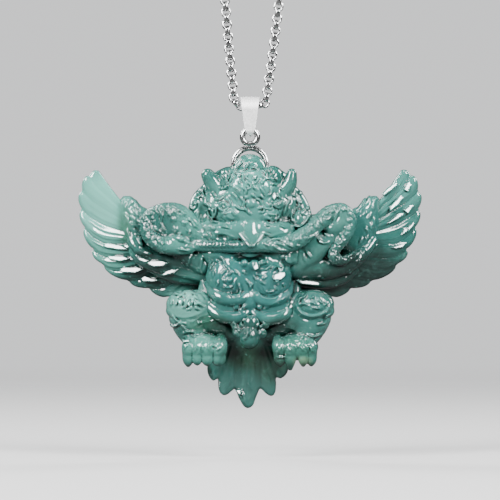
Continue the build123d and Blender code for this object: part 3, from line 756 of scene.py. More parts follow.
def add_loop(clay):
    """The pocket behind the crest, and in it the loop that the hoop goes through."""
    pocket_radius, pocket_face = 4.2, -0.925
    loop_half_width, loop_radius, bore_radius = 1.1, 2.095, 0.995
    part, x, y, z = clay.window([-5.5, -1.5, 11.5], [5.5, 10, 21])
    round_hole = np.sqrt(x**2 + np.minimum(z - HOOP_LEVEL, 0) ** 2) - pocket_radius
    clay.cut(part, np.maximum(round_hole, pocket_face - y).astype(np.float32), 0.3)
    part, x, y, z = clay.window([-2.5, -3, 10.5], [2.5, 3.5, 17])
    ring = np.sqrt(y**2 + (z - PIVOT_LEVEL) ** 2)
    clay.join(part, np.maximum(np.abs(x) - loop_half_width, ring - loop_radius).astype(np.float32), 0.25)
    clay.cut(part, (ring - bore_radius + 0 * x).astype(np.float32), 0.15)


def make_head(step):
    """Head and mane, with the pocket and the loop for the hoop."""
    clay = Clay([-13.5, -11, -1.5], [13.5, 6.5, 21.0], step)
    add_skull(clay)
    carve_front(clay, carve_head)
    x, z = np.meshgrid(clay.axis(0), clay.axis(2), indexing="ij")
    locks = np.cos(26 * np.arctan2(x, 23 - z) + 1.5 * np.sin(0.9 * z))
    room = smooth(5.0, 6.5, np.hypot(x, z - 15)) * (1 - smooth(8.0, 9.5, np.hypot(x, z - 6)))
    clay.emboss(0.13 * locks * room, from_back=True)
    clay.add_facets(head_facets)
    add_loop(clay)
    return clay


# What is carved into the front: each row is one stroke, through its pixels px, py, px, py and so on.
crown_curls = [
    (222, 175, 224, 179), (227, 172, 229, 176), (231, 170, 229, 177, 227, 181),
    (237, 168, 240, 165, 243, 161), (242, 171, 246, 168, 249, 163), (232, 176, 231, 180, 229, 184),
    (243, 176, 243, 180, 244, 183), (247, 174, 246, 178, 248, 180), (259, 178, 257, 182, 254, 184),
    (268, 170, 269, 174), (272, 171, 273, 176), (275, 178, 278, 181), (272, 184, 277, 185),
    (228, 184, 226, 181), (239, 184, 240, 182), (254, 187, 257, 191), (261, 188, 264, 194),
    (272, 188, 271, 193, 268, 196), (278, 195, 280, 199), (269, 201, 271, 206),
    (215, 200, 221, 199, 227, 194), (213, 193, 215, 197), (205, 201, 208, 205, 211, 207),
    (209, 209, 212, 211), (252, 195, 256, 198), (235, 171, 238, 174, 242, 174),
    (250, 169, 254, 168, 258, 170), (262, 171, 266, 174, 266, 178), (234, 188, 238, 190, 240, 194),
    (243, 188, 246, 191, 245, 195), (232, 194, 236, 197, 238, 201), (226, 199, 230, 202, 231, 206),
    (241, 198, 244, 202, 243, 207), (256, 199, 260, 201, 262, 205), (261, 196, 264, 199),
    (247, 183, 251, 185, 252, 189), (264, 180, 269, 179, 272, 181), (220, 188, 224, 189, 227, 186),
    (262, 206, 267, 209, 273, 209), (236, 206, 240, 209, 246, 210), (218, 206, 220, 210, 225, 212),
]
face_curls = [
    (207, 210, 209, 216, 213, 219), (213, 209, 213, 219), (216, 206, 216, 212, 214, 218),
    (222, 214, 228, 213), (232, 212, 236, 216), (244, 208, 248, 212, 251, 215), (258, 209, 263, 208),
    (260, 213, 264, 212, 264, 209), (268, 214, 274, 215, 278, 213), (268, 218, 272, 221),
    (275, 221, 280, 216), (283, 216, 286, 208, 288, 202), (290, 206, 288, 210), (293, 195, 296, 197),
    (304, 209, 301, 213, 305, 215), (306, 210, 309, 207), (202, 188, 203, 193, 204, 197),
    (197, 192, 201, 196, 204, 198), (204, 203, 207, 206), (209, 233, 210, 237), (212, 221, 219, 222),
    (221, 226, 230, 228), (279, 225, 285, 228), (264, 233, 271, 236), (266, 225, 270, 226),
    (286, 197, 289, 200, 288, 204), (297, 199, 299, 204, 297, 209), (194, 201, 196, 206, 193, 211),
    (293, 211, 291, 217, 293, 222), (292, 225, 299, 227, 305, 222, 309, 215),
]
head_dots = [
    (262, 183, 0.34), (226, 188, 0.36), (231, 186, 0.34), (249, 189, 0.28), (246, 198, 0.34),
    (195, 203, 0.45), (192, 208, 0.36), (213, 228, 0.50), (203, 235, 0.60), (300, 193, 0.4),
]
snake_strokes = [
    (268, 241, 274, 239, 280, 239, 284, 242), (276, 243, 283, 245), (264, 242, 268, 246),
    (273, 246, 280, 250, 286, 251), (287, 244, 293, 247), (297, 246, 300, 246), (288, 238, 291, 240),
    (308, 239, 315, 235, 319, 232), (337.5, 211, 335.5, 217, 333, 223), (310, 228.5, 310.5, 231.5),
    (327, 220, 330, 217.5), (345, 227.5, 347, 230.5), (348, 228, 350, 230.5), (340, 234, 342, 238),
    (334.5, 241.5, 337, 244.5), (330.5, 248, 333, 251.5), (334, 254.5, 338, 258),
    (348, 256.5, 352.5, 253.5), (347, 208, 349, 216), (350, 213, 353, 218), (168, 204, 180, 210, 188, 216),
    (190, 219, 199, 229), (178, 249, 190, 251), (158, 207, 162, 215, 161.5, 224, 167, 233),
    (163, 206.5, 167, 212), (154, 227.5, 159, 231, 165, 233.8), (166, 238, 166.5, 245),
    (154, 238.5, 158, 238.5),
]
snake_dots = [
    (143, 217.5, 0.35), (145.5, 220, 0.3), (142, 222, 0.3), (153.5, 222, 0.3), (145, 230.5, 0.35),
    (152.5, 233, 0.4), (155.5, 235, 0.35), (159.5, 236.5, 0.35), (147, 238, 0.35), (150, 238, 0.3),
    (160, 241, 0.4), (156, 245.5, 0.35), (153, 218.5, 0.3), (152.5, 213.5, 0.35), (154, 209.5, 0.35),
    (163, 229.5, 0.4), (176, 229.5, 0.5), (174, 220, 0.5), (176, 212, 0.4), (185, 223.5, 0.4),
    (183, 214.5, 0.4), (190, 219.5, 0.4), (195.5, 226, 0.4), (190, 231.5, 0.4), (321, 215, 0.4),
    (325.5, 213.5, 0.4), (332, 211, 0.4), (335.5, 206.5, 0.4), (342.5, 209.5, 0.45), (320, 219, 0.4),
    (313.5, 221.5, 0.4), (313, 224, 0.3), (309.5, 224.5, 0.4), (316, 226.5, 0.45), (322.5, 223, 0.35),
    (320.5, 222, 0.3), (303, 234.5, 0.4), (305.5, 238.5, 0.35), (298, 239.5, 0.4), (326, 208, 0.3),
    (348.5, 221, 0.4), (345, 234.5, 0.4), (340, 243, 0.35), (339.5, 256, 0.35), (341.5, 258.5, 0.35),
    (307, 232, 0.3), (318, 216, 0.3), (328, 211, 0.3), (148, 225, 0.35), (149.5, 230, 0.3),
    (148, 214.5, 0.35), (163, 243, 0.35), (170, 215, 0.3), (180, 234, 0.3),
]
covert_strokes = [
    (131.3, 198.4, 130.8, 202, 128.1, 206.4, 128.6, 210, 133, 214.5), (133, 209, 138.4, 216.3),
    (130.4, 223.4, 134.8, 227.9), (133, 223.4, 139.3, 227), (133, 228.8, 137.5, 232.3),
    (125, 199, 124, 204, 125, 209), (135.5, 201, 136.5, 206, 140, 210), (124, 213, 127, 219, 127, 224),
    (138, 220, 142, 225), (139, 233, 142, 239), (126, 229, 130, 236), (143.8, 217, 141.5, 219.5, 142, 223),
    (130, 216, 134, 220),
]
covert_folds = [(135, 234, 138, 240, 142.5, 247), (137, 250, 144, 252, 152, 254)]
right_covert_strokes = [
    (358, 211, 362, 204, 366, 196), (369, 195, 370, 202), (368, 219, 371, 214), (373, 210, 374, 206),
    (371, 224, 372, 230), (366, 241, 368, 236), (364, 250, 364, 255), (354, 262, 361, 259),
    (357, 264, 360, 262), (348, 274, 352, 272), (362, 216, 366, 211), (375, 218, 374, 226),
    (366, 228, 369, 233), (360, 244, 362, 238),
]
arm_strokes = [
    (306, 252, 311, 258), (303, 253, 305, 262), (190.5, 256, 189, 265), (203, 255, 200.6, 269),
    (194, 253, 196, 256),
]
chest_strokes = [
    (220, 257, 223, 259, 226, 265, 232, 272), (216, 260, 218, 262), (211, 262, 209, 266, 208, 268),
    (214, 263, 211, 267, 210, 270), (214, 268, 213, 277), (228, 275, 231, 272),
    (223, 284, 226, 287, 231, 287, 234, 283, 236, 279), (235, 283, 234, 291), (275, 266, 272, 272),
    (261, 264, 266, 262), (262, 270, 268, 268, 272, 264), (260, 281, 265, 284), (274, 287, 277, 289),
    (266, 292, 272, 291), (246, 280, 250, 285, 251, 290), (252, 283, 250, 288), (235, 271, 238, 274),
    (243, 271, 246, 274), (226, 270, 222, 274, 222, 279), (239, 284, 241, 290, 238, 295),
    (229, 293, 232, 296), (256, 274, 261, 275), (266, 276, 263, 279), (280, 262, 283, 266, 282, 271),
    (254, 276, 257, 280), (218, 281, 217, 286),
]
knee_strokes = [
    (174, 292, 180, 294, 186, 291), (176, 298, 182, 295, 187, 297), (180, 304, 183, 299),
    (186, 303, 190, 297), (191, 304, 194, 299), (184, 307, 188, 303), (178, 300, 176, 305),
    (195, 296, 199, 299), (198, 302, 204, 306), (192, 292, 196, 294), (172, 299, 171, 305),
    (188, 309, 192, 307), (196, 307, 200, 309), (169, 324.5, 175, 326, 180, 323.5, 186, 329, 189, 333),
    (182.5, 333.5, 190, 331, 198.5, 333), (172, 315, 178, 321, 186, 323), (299, 305, 303, 303, 308, 305),
    (311, 301, 316, 305), (309, 298, 314, 296), (318, 299, 322, 303), (324, 305, 327, 302),
    (303, 298, 306, 294), (313, 307, 319, 308), (298, 304, 299, 299, 304, 295), (317, 324, 325, 323),
    (307, 334, 314, 336, 321, 334), (324, 318, 329, 314),
]
thigh_strokes = [(187, 320, 193, 321, 200, 317, 208, 314.5), (194, 326, 203, 322, 212, 321),
                 (283, 325, 296, 330)]
foot_strokes = [
    (183, 340, 188, 341), (185, 348, 187, 344), (196, 350, 197, 344), (203, 350, 203, 344),
    (209, 350, 209, 343), (217, 350, 220, 347), (213, 344, 217, 346), (278, 352, 280, 347),
    (283, 350, 285, 344), (289, 348, 291, 350), (296, 349, 295, 343), (303, 350, 300, 345),
    (308, 350, 306, 343), (312, 351, 310, 345), (276, 357, 286, 356),
]
drop_strokes = [
    (248, 330, 246, 337, 243, 339), (249, 332, 251, 336), (244, 317, 241, 322, 243, 327),
    (256, 317, 259, 322, 257, 327), (233, 321, 236, 324), (262, 320, 265, 323),
]
tail_grooves = [
    (236, 346, 234, 366, 234, 389), (262, 346, 262, 368, 261, 389), (224, 352, 219, 368, 217.5, 379),
    (276, 350, 278, 364, 276.5, 378),
]
tail_ridges = [
    (231, 374, 229, 383, 226, 391), (241, 391, 245, 400, 247, 406), (248, 383, 252, 390),
    (212, 368, 213, 377), (269, 376, 271, 390), (239, 389, 244, 397), (250, 372, 248, 390, 248, 404),
]


# Flat faces that shine in the photo: outline, depth, and lean to the left light (minus) or the right one.
left_arm_facets = [
    ([(136, 238), (142, 237.5), (143, 245.5)], -2.6, -0.316),
    ([(138, 250.5), (144, 248.5), (146, 251.5), (152.5, 253.5), (143.5, 254.5)], -3.0, -0.316),
    ([(145, 263), (151, 260.5), (163, 260.5), (169, 263), (163, 266.5), (154, 267.3)], -3.7, -0.316),
    ([(160, 275), (168, 270.5), (180, 268), (175, 273), (165, 276)], -3.1, -0.316),
]
right_arm_facets = [
    ([(295, 279.7), (311, 280.5), (328.5, 283.7), (318, 286), (301, 284)], -2.6, 0.34),
    ([(316.8, 238.8), (319.5, 239.8), (323, 242), (328, 242.9), (323, 244.2), (319, 242.8)], -5.4, 0.34),
    ([(323, 231.8), (326, 234), (331.5, 236), (326, 236.5), (323.5, 234.2)], -4.8, 0.34),
]
chest_facets = [
    ([(277, 266.3), (283.7, 268.6), (286, 275), (281.5, 279.7), (272.5, 279.7), (273.5, 274.5), (279, 272)],
     -7.1, 0.347),
    ([(285.5, 258.5), (294.5, 258), (295, 261), (290, 264), (286.5, 261.5)], -5.6, 0.35),
    ([(252, 265), (255, 263), (258.5, 264.5), (259, 269), (254, 270.5)], -7.3, 0.33),
]
snake_facets = [
    ([(168, 203.7), (173, 204.8), (181, 208.3), (188, 214.8), (185, 214.3), (179, 209.8), (172, 206.3)],
     -6.1, -0.316),
]
leg_facets = [
    ([(177.5, 299), (183, 299.5), (182, 305), (179, 303)], -7.9, -0.32),
    ([(186.5, 303), (191.5, 299.5), (190, 306)], -8.2, -0.32),
    ([(194, 300), (198, 303.5), (194.5, 305)], -7.8, -0.32),
    ([(182.5, 339.5), (190, 339), (190, 341.5), (183, 342)], -6.7, -0.32),
    ([(299, 332.5), (303, 332), (302.5, 336)], -5.6, 0.34),
    ([(235, 390), (242.5, 389), (240, 396)], -0.8, -0.32),
    ([(218.5, 378.5), (220.3, 378), (220, 388), (218.8, 386)], -0.4, -0.32),
]
head_facets = [
    ([(271, 197), (274.3, 192.5), (277.2, 196.5), (274, 201)], -7.0, 0.34),
    ([(252.5, 176), (257.5, 176), (256, 180), (253.5, 180)], -8.35, 0.33),
    ([(262, 175.5), (269, 177.5), (264, 179)], -7.9, 0.33),
    ([(266, 184.5), (269, 186), (268, 189)], -7.8, 0.33),
    ([(237, 174.5), (240.5, 175), (239.5, 178), (237, 177.5)], -7.9, -0.32),
    ([(279, 188), (283.5, 189.5), (282, 191.5)], -6.3, 0.34),
    ([(196, 197), (200, 196.5), (198.5, 200)], -4.1, -0.32),
    ([(298.5, 202), (303, 200), (301.5, 204.5)], -4.2, 0.34),
]


def carve(relief, rows, height, width):
    for row in rows:
        relief.stroke(height, width, *row)


def carve_dots(relief, rows, height=0.46):
    for px, py, radius in rows:
        relief.dot(height, radius, px, py)


def carve_head(relief):
    carve(relief, crown_curls, 0.50, 0.20)
    carve(relief, face_curls, 0.46, 0.20)
    carve_dots(relief, head_dots)
    for px, py in ((278, 204), (224, 206)):
        relief.spiral(0.38, 0.20, px, py, 4.6)
    for side in (-1, 1):
        m = half_pixels(side)
        for reach in (6.5, 10.0):
            relief.stroke(0.20, 0.22, m(232 - reach), 212, m(232 - reach * 0.6), 212 + reach * 0.8,
                          m(233), 213 + reach, m(232 + reach * 0.7), 212 + reach * 0.6)
    carve(relief, [(241.5, 222, 243.5, 227, 246.5, 231), (245, 221, 246, 225)], 0.20, 0.22)
    carve(relief, [(212, 233, 226, 234, 238, 240), (292, 232, 278, 234, 266, 239)], 0.22, 0.30)


def carve_snake(relief):
    carve(relief, snake_strokes, 0.36, 0.22)
    for number in range(12):
        px = 202 + 3.3 * number
        relief.stroke(0.10, 0.18, px, 240.5, px - 0.6, 246.5)
    relief.stroke(-0.15, 0.2, 198, 248, 220, 248.5, 244, 248)
    for px, py in ((338, 259.5), (336, 254), (338, 247), (343, 241), (346, 235), (351, 227), (350, 221)):
        relief.stroke(0.2, 0.2, px - 1.5, py - 2.2, px + 1, py + 1)
    carve_dots(relief, snake_dots, 0.34)
    relief.dot(0.3, 0.4, 182, 240)
    relief.dot(0.25, 0.35, 188, 246.5)


def carve_arms(relief):
    carve(relief, covert_strokes, 0.34, 0.27)
    carve(relief, covert_folds, 0.55, 0.5)
    carve(relief, right_covert_strokes, 0.34, 0.27)
    carve(relief, arm_strokes, 0.40, 0.24)


def carve_chest(relief):
    carve(relief, chest_strokes, 0.42, 0.20)
    carve(relief, [(290, 293, 288.5, 302, 286, 310), (290, 293, 280, 300, 269, 305)], 0.30, 0.25)
    for radius in (7.5, 11.0, 14.5):
        row = []
        for angle in np.radians(range(20, 161, 28)):
            row += [270 + radius * math.cos(angle), 284 + radius * math.sin(angle)]
        relief.stroke(0.22, 0.24, *row)
    carve_dots(relief, [(224, 280, 0.4), (229.5, 280, 0.45), (277, 282, 0.45), (282, 257, 0.5),
                        (274, 267, 0.5), (289, 259, 0.7), (243, 307, 0.3), (284, 285, 0.3)])


def carve_legs(relief):
    carve_dots(relief, [(199, 322, 0.3), (302, 336, 0.4), (195, 335, 0.35)])
    carve(relief, knee_strokes, 0.55, 0.22)
    carve(relief, thigh_strokes, 0.26, 0.30)
    relief.stroke(0.55, 0.36, 296, 304, 299, 311, 307, 315.5, 318, 315, 326, 311, 330.5, 304)
    relief.stroke(0.22, 0.34, 168, 310, 176, 316, 188, 317, 200, 313, 206, 308)
    carve(relief, foot_strokes, 0.36, 0.20)
    carve(relief, drop_strokes, 0.36, 0.22)
    carve_dots(relief, [(235.5, 327, 0.35), (239, 330, 0.3), (261, 326, 0.35), (264, 324, 0.3),
                        (235, 333, 0.35), (263, 333, 0.35)])
    carve(relief, tail_grooves, -0.20, 0.45)
    carve(relief, tail_ridges, 0.22, 0.26)


# Materials
class Net:
    """The shader nodes of a material or of the world, with short ways to add to them."""

    def __init__(self, tree):
        self.nodes, self.links = tree.nodes, tree.links

    def add(self, kind):
        return self.nodes.new("ShaderNode" + kind)

    def put(self, socket, value):
        """Links a socket to another one, or sets it to a number, a vector or a colour."""
        if isinstance(value, bpy.types.NodeSocket):
            self.links.new(value, socket)
        else:
            socket.default_value = (*value, 1) if socket.type == "RGBA" else value

    def fill(self, node, **values):
        """Puts values into a node's inputs: base_color stands for Base Color."""
        sockets = {socket.name.lower().replace(" ", "_"): socket for socket in node.inputs
                   if socket.enabled}
        for name, value in values.items():
            self.put(sockets[name], value)
        return node

    def noise(self, place, scale, detail=3.0, distortion=0.0):
        node = self.fill(self.add("TexNoise"), vector=place, scale=scale, detail=detail,
                         distortion=distortion)
        return node.outputs["Fac"]

    def ramp(self, value, stops):
        """Turns a value into a colour: stops are rows of place and colour."""
        node = self.fill(self.add("ValToRGB"), fac=value)
        band = node.color_ramp
        while len(band.elements) < len(stops):
            band.elements.new(0.5)
        for element, (place, colour) in zip(band.elements, stops):
            element.position = place
            element.color = (*colour, 1)
        return node.outputs["Color"]

    def mixed(self, share, first, second):
        node = self.add("Mix")
        node.data_type = "RGBA"
        for number, value in ((0, share), (6, first), (7, second)):
            self.put(node.inputs[number], value)
        return node.outputs[2]

    def between(self, value, low, high, to_low=0.0, to_high=1.0):
        """Carries a value from one span over to another, with soft ends."""
        node = self.add("MapRange")
        node.interpolation_type = "SMOOTHSTEP"
        self.fill(node, value=value, from_min=low, from_max=high, to_min=to_low, to_max=to_high)
        return node.outputs["Result"]

    def vector(self, operation, first, second=(0, 0, 0)):
        node = self.add("VectorMath")
        node.operation = operation
        self.put(node.inputs[0], first)
        self.put(node.inputs[1], second)
        return node.outputs["Value" if operation == "LENGTH" else 0]

    def openness(self, distance, low, high):
        """How open a place is: 0 deep in a crevice and 1 where nothing is near, which the materials use to
        paint shade into hollows.
        """
        hollow = self.fill(self.add("AmbientOcclusion"), distance=distance)
        hollow.samples = 6
        return self.between(hollow.outputs["AO"], low, high)

    def bump(self, height, strength, distance):
        return self.fill(self.add("Bump"), height=height, strength=strength,
                         distance=distance).outputs["Normal"]


def new_material(name):
    material = bpy.data.materials.new(name)
    material.use_nodes = True
    net = Net(material.node_tree)
    return material, net, net.nodes["Principled BSDF"], net.add("TexCoord").outputs["Object"]


# Where the stone is paler or deeper: partly its own tone, partly painted shade in hollows, under forms and
# on faces turned from the lights, and partly painted light on lit parts. Rows: pixel, reach across and up
# in millimetres, colour and share.
tone_and_painted_light_patches = [
    ((98, 205), (7.5, 9.5), (0.120, 0.38, 0.32), 0.95),
    ((100, 255), (7.0, 6.0), (0.060, 0.24, 0.195), 0.90),
    # Painted shade on the lowest left feathers, behind the leg.
    ((150, 285), (9.0, 4.0), (0.009, 0.070, 0.058), 0.85),
    ((395, 190), (7.0, 7.0), (0.045, 0.19, 0.165), 0.80),
    ((400, 235), (6.0, 7.0), (0.010, 0.095, 0.082), 0.80),
    # The next three rows paint shade on the lower right wing, the lower right arm and the left lower arm.
    ((365, 272), (13.0, 7.5), (0.002, 0.026, 0.022), 0.95),
    ((315, 285), (9.0, 4.5), (0.002, 0.026, 0.021), 0.95),
    ((165, 262), (9.0, 4.5), (0.003, 0.034, 0.029), 0.90),
    ((364, 225), (4.0, 6.5), (0.014, 0.110, 0.098), 0.80),
    ((249, 187), (8.0, 5.5), (0.060, 0.25, 0.215), 0.90),
    ((250, 163), (4.0, 2.2), (0.026, 0.150, 0.128), 0.80),
    ((248, 213), (8.5, 4.5), (0.048, 0.215, 0.185), 0.85),
    ((228, 232), (4.0, 2.4), (0.034, 0.170, 0.145), 0.80),
    ((274, 232), (4.0, 2.4), (0.034, 0.170, 0.145), 0.80),
    # Painted shade on the snake, under the cheeks.
    ((225, 246), (7.5, 2.0), (0.006, 0.062, 0.054), 0.90),
    ((160, 224), (5.0, 5.0), (0.010, 0.080, 0.068), 0.90),
    ((192, 222), (4.0, 4.0), (0.046, 0.21, 0.175), 0.85),
    ((178, 245), (4.8, 2.4), (0.042, 0.20, 0.165), 0.85),
    ((205, 322), (5.0, 2.8), (0.012, 0.085, 0.052), 0.80),
    ((235, 275), (7.0, 6.0), (0.012, 0.115, 0.108), 0.85),
    ((272, 285), (6.0, 6.0), (0.014, 0.115, 0.110), 0.85),
    ((250, 308), (9.0, 3.5), (0.010, 0.095, 0.088), 0.85),
    ((251, 330), (3.5, 3.5), (0.003, 0.048, 0.040), 0.92),
    ((186, 304), (5.2, 4.5), (0.115, 0.37, 0.31), 0.90),
    ((313, 308), (5.0, 4.5), (0.022, 0.138, 0.120), 0.85),
    ((203, 352), (5.5, 4.5), (0.048, 0.22, 0.175), 0.90),
    ((294, 352), (5.5, 4.5), (0.028, 0.150, 0.112), 0.90),
    ((302, 361), (2.4, 1.3), (0.140, 0.27, 0.150), 0.60),
    # The next two rows paint shade on the inner calves, between the knees and the drop.
    ((221, 328), (4.0, 3.0), (0.003, 0.034, 0.024), 0.90),
    ((281, 328), (4.5, 3.0), (0.003, 0.030, 0.024), 0.90),
    # The next two rows paint shade behind the horns.
    ((218, 171), (3.2, 2.6), (0.010, 0.090, 0.076), 0.90),
    ((281, 172), (3.2, 2.6), (0.010, 0.090, 0.076), 0.90),
    # Painted shade on the top of the tail, under the drop and between the feet.
    ((250, 358), (6.5, 4.0), (0.005, 0.040, 0.022), 0.95),
    ((250, 342), (2.2, 1.3), (0.020, 0.125, 0.105), 0.60),
    ((246, 388), (8.5, 4.5), (0.016, 0.072, 0.062), 0.85),
    ((272, 368), (4.5, 4.0), (0.012, 0.052, 0.036), 0.85),
    ((124, 226), (1.6, 5.0), (0.030, 0.13, 0.070), 0.55),
]


def jade():
    material, net, shader, place = new_material("jade_polished")
    stops = [(0.30, (0.014, 0.090, 0.075)), (0.50, (0.026, 0.130, 0.110)), (0.72, (0.048, 0.185, 0.155))]
    colour = net.ramp(net.noise(place, 110, 4, 0.8), stops)
    for (px, py), (across, up), tone, share in tone_and_painted_light_patches:
        x, _, z = spot(px, py, 0) / 1000
        apart = net.vector("SUBTRACT", place, (x, 0, z + BEAK_LEVEL / 1000))
        far = net.vector("LENGTH", net.vector("MULTIPLY", apart, (1000 / across, 0, 1000 / up)))
        colour = net.mixed(net.between(far, 1.15, 0.35, 0, share), colour, tone)
    wisps = net.between(net.noise(place, 420, 5, 1.6), 0.50, 0.80, 0, 0.16)
    colour = net.mixed(wisps, colour, (0.10, 0.30, 0.25))
    # Painted light and shade from the mesh's pointiness: convex ridges are made paler and creases are made
    # dark.
    bend = net.add("NewGeometry").outputs["Pointiness"]
    colour = net.mixed(net.between(bend, 0.52, 0.62, 0, 0.35), colour, (0.12, 0.34, 0.29))
    colour = net.mixed(net.between(bend, 0.44, 0.492), (0.002, 0.030, 0.025), colour)
    colour = net.mixed(0.05, colour, (0.20, 0.10, 0.09))
    # Painted shade: hollows within a few millimetres turn near black green.
    colour = net.mixed(net.openness(0.0045, 0.10, 0.72), (0.001, 0.014, 0.010), colour)
    polish = net.between(net.noise(place, 900), 0.3, 0.7, 0.05, 0.11)
    grain = net.bump(net.noise(place, 1500, 2), 0.10, 0.00006)
    net.fill(shader, base_color=colour, roughness=polish, normal=grain, ior=1.62, subsurface_weight=0.28,
             subsurface_radius=(0.35, 1.0, 0.75), subsurface_scale=0.0007, coat_weight=0.5,
             coat_roughness=0.03)
    return material


def silver(name, low_rough, high_rough, tones):
    material, net, shader, place = new_material(name)
    dark, light = ((tone,) * 3 for tone in tones)
    colour = net.ramp(net.noise(place, 300), [(0.25, dark), (0.75, light)])
    # Painted shade: the silver's crevices turn dark.
    colour = net.mixed(net.openness(0.0008, 0.15, 0.7), (0.04, 0.04, 0.045), colour)
    wear = net.between(net.noise(place, 2600, 4), 0.3, 0.7, low_rough, high_rough)
    net.fill(shader, base_color=colour, metallic=1.0, roughness=wear,
             normal=net.bump(net.noise(place, 2200), 0.15, 0.00003))
    return material


# Camera and lights
def place_new(name, data):
    """A new object in the scene."""
    thing = bpy.data.objects.new(name, data)
    bpy.context.scene.collection.objects.link(thing)
    return thing


camera_data = bpy.data.cameras.new("camera")
camera_data.lens = 288
camera_data.sensor_width = 36
camera = place_new("camera", camera_data)
camera.location = (0, -0.8, BEAK_LEVEL / 1000)
camera.rotation_euler = (math.radians(90), 0, 0)
bpy.context.scene.camera = camera

# Soft lights: name, place, what it is turned to, width and height, power.
middle = (0, 0, -0.245)
softboxes = [
    ("key_left", (-0.34, -0.40, 0.02), middle, (0.15, 0.32), 8.6),
    ("key_right", (0.35, -0.40, 0.02), middle, (0.13, 0.30), 7.4),
    ("top", (0.02, -0.30, 0.12), middle, (0.06, 0.05), 0.28),
    ("back_left", (-0.38, 0.27, 0.05), middle, (0.14, 0.30), 3.2),
    ("back_right", (0.40, 0.25, 0.03), middle, (0.12, 0.26), 2.7),
    ("floor_wash", (0, 0.0, 1.6), (0, 0.1, -0.28), (0.35, 0.35), 9.7),
]
for name, place, target, size, power in softboxes:
    data = bpy.data.lights.new(name, "AREA")
    data.shape = "RECTANGLE"
    data.size, data.size_y = size
    data.energy = power
    lamp = place_new(name, data)
    lamp.location = place
    lamp.rotation_euler = (Vector(target) - Vector(place)).to_track_quat("-Z", "Y").to_euler()

# The camera sees a pale background, and the stone reflects a dim room.
world = bpy.data.worlds.new("studio")
bpy.context.scene.world = world
world.use_nodes = True
net = Net(world.node_tree)
sky = net.fill(net.add("SeparateXYZ"), vector=net.add("TexCoord").outputs["Generated"])
room = net.ramp(net.between(sky.outputs["Z"], -0.6, 0.8),
                [(0.0, (0.01, 0.01, 0.01)), (0.45, (0.03, 0.032, 0.034)), (1.0, (0.07, 0.073, 0.076))])
dim = net.fill(net.nodes["Background"], color=room)
pale = net.fill(net.add("Background"), color=(0.96, 0.97, 0.98))
seen = net.add("LightPath").outputs["Is Camera Ray"]
shown = net.add("MixShader")
for socket, value in zip(shown.inputs, (seen, dim.outputs[0], pale.outputs[0])):
    net.put(socket, value)
net.fill(net.nodes["World Output"], surface=shown.outputs[0])

# The floor fades into the pale background some way off, and little of it shows in reflections.
floor_material, net, shader, place = new_material("floor_pale")
seen = net.add("LightPath").outputs["Is Camera Ray"]
solid = net.add("Math")
solid.operation = "MULTIPLY"
net.put(solid.inputs[0], net.between(net.vector("LENGTH", place), 0.15, 0.75, 1.0, 0.0))
net.put(solid.inputs[1], net.between(seen, 0.0, 1.0, 0.10, 1.0))
net.fill(shader, base_color=net.ramp(net.noise(place, 3, 2), [(0.3, (0.63,) * 3), (0.7, (0.66,) * 3)]),
         alpha=solid.outputs[0], roughness=0.8)
FLOOR_LEVEL = -0.285
floor_data = bpy.data.meshes.new("floor")
floor_data.from_pydata([(x, y, FLOOR_LEVEL) for x, y in ((-3, -3), (3, -3), (3, 3), (-3, 3))], [],
                       [(0, 1, 2, 3)])
floor_data.materials.append(floor_material)
floor = place_new("floor", floor_data)


def as_piece(data, material, body="stone"):
    """A piece of the necklace, which rides on a body of the part."""
    piece = place_new(data.name, data)
    piece.data.materials.append(material)
    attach(piece, body)
    return piece


# Stone
jade_material = jade()
coarse = 1.0
# Name, what makes it, and the step of its block, or for a wing its side and its ribs' strengths.
stone_pieces = [
    ("stone_arms", make_arms, (0.20 * coarse,)),
    ("stone_chest", make_chest, (0.16 * coarse,)),
    ("stone_legs", make_legs, (0.175 * coarse,)),
    ("stone_head", make_head, (0.155 * coarse,)),
    ("stone_snake", make_snake, (0.17 * coarse,)),
    ("stone_wing_left", make_wing, (-1, 0.14, 1.0)),
    ("stone_wing_right", make_wing, (1, 1.0, 0.35)),
]
for name, make, how in stone_pieces:
    piece = as_piece(make(*how).mesh(name), jade_material)
    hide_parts("jade_bird")

# Chain. The route is the one of the part's source, in millimetres across and up from its low end, from
# the clasp round to the clasp.
CHAIN_LOW = -0.2144
HALF_CLASP = 0.0042
LINK_PITCH = 0.00122
route = [
    (16.0, 148.0), (13.9, 110.0), (11.2, 74.0), (8.2, 42.0), (5.96, 22.0), (4.5, 10.3), (3.45, 3.2),
    (3.15, 0.0), (-3.15, 0.0),
    (-3.35, 3.2), (-4.1, 10.3), (-5.06, 22.0), (-6.75, 42.0), (-9.4, 74.0), (-12.3, 110.0), (-15.1, 148.0),
    (-17.6, 192.0), (-17.8, 205.0), (-7.4, 215.4), (7.4, 215.4), (17.8, 205.0), (17.7, 192.0),
]


def chain_path():
    """The line of the chain, as close points."""
    places = [Vector((across / 1000, 0, CHAIN_LOW + up / 1000)) for across, up in route]
    clasp_middle = (places[0] + places[-1]) / 2
    clasp_way = (places[-1] - places[0]).normalized() * HALF_CLASP
    places = [clasp_middle - clasp_way, *places, clasp_middle + clasp_way]
    data = bpy.data.curves.new("chain_line", "CURVE")
    data.dimensions = "3D"
    data.resolution_u = 24
    spline = data.splines.new("NURBS")
    spline.points.add(len(places) - 1)
    for point, place in zip(spline.points, places):
        point.co = (*place, 1)
    spline.order_u = 3
    spline.use_endpoint_u = True
    line = bpy.data.objects.new("chain_line", data)
    mesh = bpy.data.meshes.new_from_object(line)
    path = np.array([vertex.co for vertex in mesh.vertices])
    bpy.data.meshes.remove(mesh)
    bpy.data.objects.remove(line)
    return path


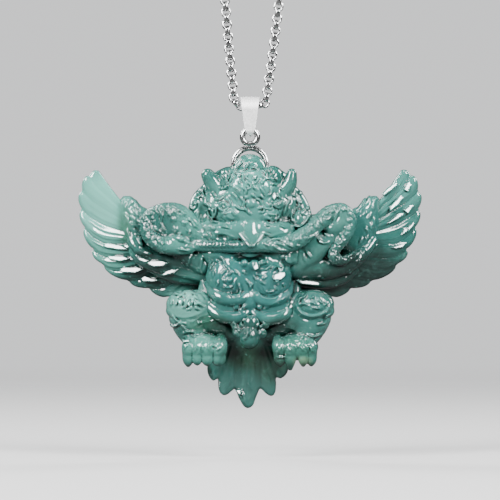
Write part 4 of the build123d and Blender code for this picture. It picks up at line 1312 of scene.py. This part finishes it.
def link_mesh(sides=14):
    """One round box link: its ring lies along x (with the chain) and y, and the strip is as wide as z."""
    half_long, half_wide, thick, half_strip = 0.00100, 0.00100, 0.00019, 0.00046
    profile = [(-1.0, 0.45), (-0.55, 1.0), (0.55, 1.0), (1.0, 0.45), (0.75, -1.0), (-0.75, -1.0)]
    verts = []
    for i in range(sides):
        angle = 2 * math.pi * i / sides
        across, up = math.cos(angle), math.sin(angle)
        squeeze = (abs(across) ** 4 + abs(up) ** 4) ** -0.10
        for width, height in profile:
            reach = (1 + (height - 1) * thick / half_long) * squeeze
            verts.append((half_long * reach * across, half_wide * reach * up, half_strip * width))
    n = len(profile)
    faces = [(i * n + j, (i + 1) % sides * n + j, (i + 1) % sides * n + (j + 1) % n, i * n + (j + 1) % n)
             for i in range(sides) for j in range(n)]
    return np.array(verts), np.array(faces)


def chain_mesh():
    """Links along the path, each turned a quarter from the one before it."""
    path = chain_path()
    run = np.concatenate([[0], np.cumsum(np.linalg.norm(np.diff(path, axis=0), axis=1))])
    count = int(run[-1] / LINK_PITCH)
    places = (np.arange(count) + 0.5) * run[-1] / count

    def along(shift):
        return np.stack([np.interp(places + shift, run, path[:, i]) for i in range(3)], 1)

    ways = along(0.0004) - along(-0.0004)
    ways /= np.linalg.norm(ways, axis=1)[:, None]
    shape, shape_faces = link_mesh()
    toward = np.array([0.0, 1.0, 0.0])
    all_verts, all_faces = [], []
    for i, (centre, way) in enumerate(zip(along(0), ways)):
        sideways = np.cross(toward, way)
        axes = (way, sideways, toward) if i % 2 else (way, -toward, sideways)
        all_verts.append(shape @ np.stack(axes) + centre)
        all_faces.append(shape_faces + i * len(shape))
    data = bpy.data.meshes.new("chain_links")
    data.from_pydata(np.vstack(all_verts).tolist(), [], np.vstack(all_faces).tolist())
    data.polygons.foreach_set("use_smooth", np.ones(len(data.polygons), bool))
    return data


bright = silver("silver_polished", 0.16, 0.26, (0.50, 0.62))
chain = as_piece(chain_mesh(), silver("silver_chain", 0.12, 0.24, (0.66, 0.80)), "chain")
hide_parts("neck_chain")

satin = silver("silver_satin", 0.58, 0.70, (0.97, 1.0))
for name, material in (("hanger", bright), ("bail", satin), ("clasp", satin)):
    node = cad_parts[name]
    node.data.materials.clear()
    node.data.materials.append(material)
    node.data.polygons.foreach_set("use_smooth", np.ones(len(node.data.polygons), bool))
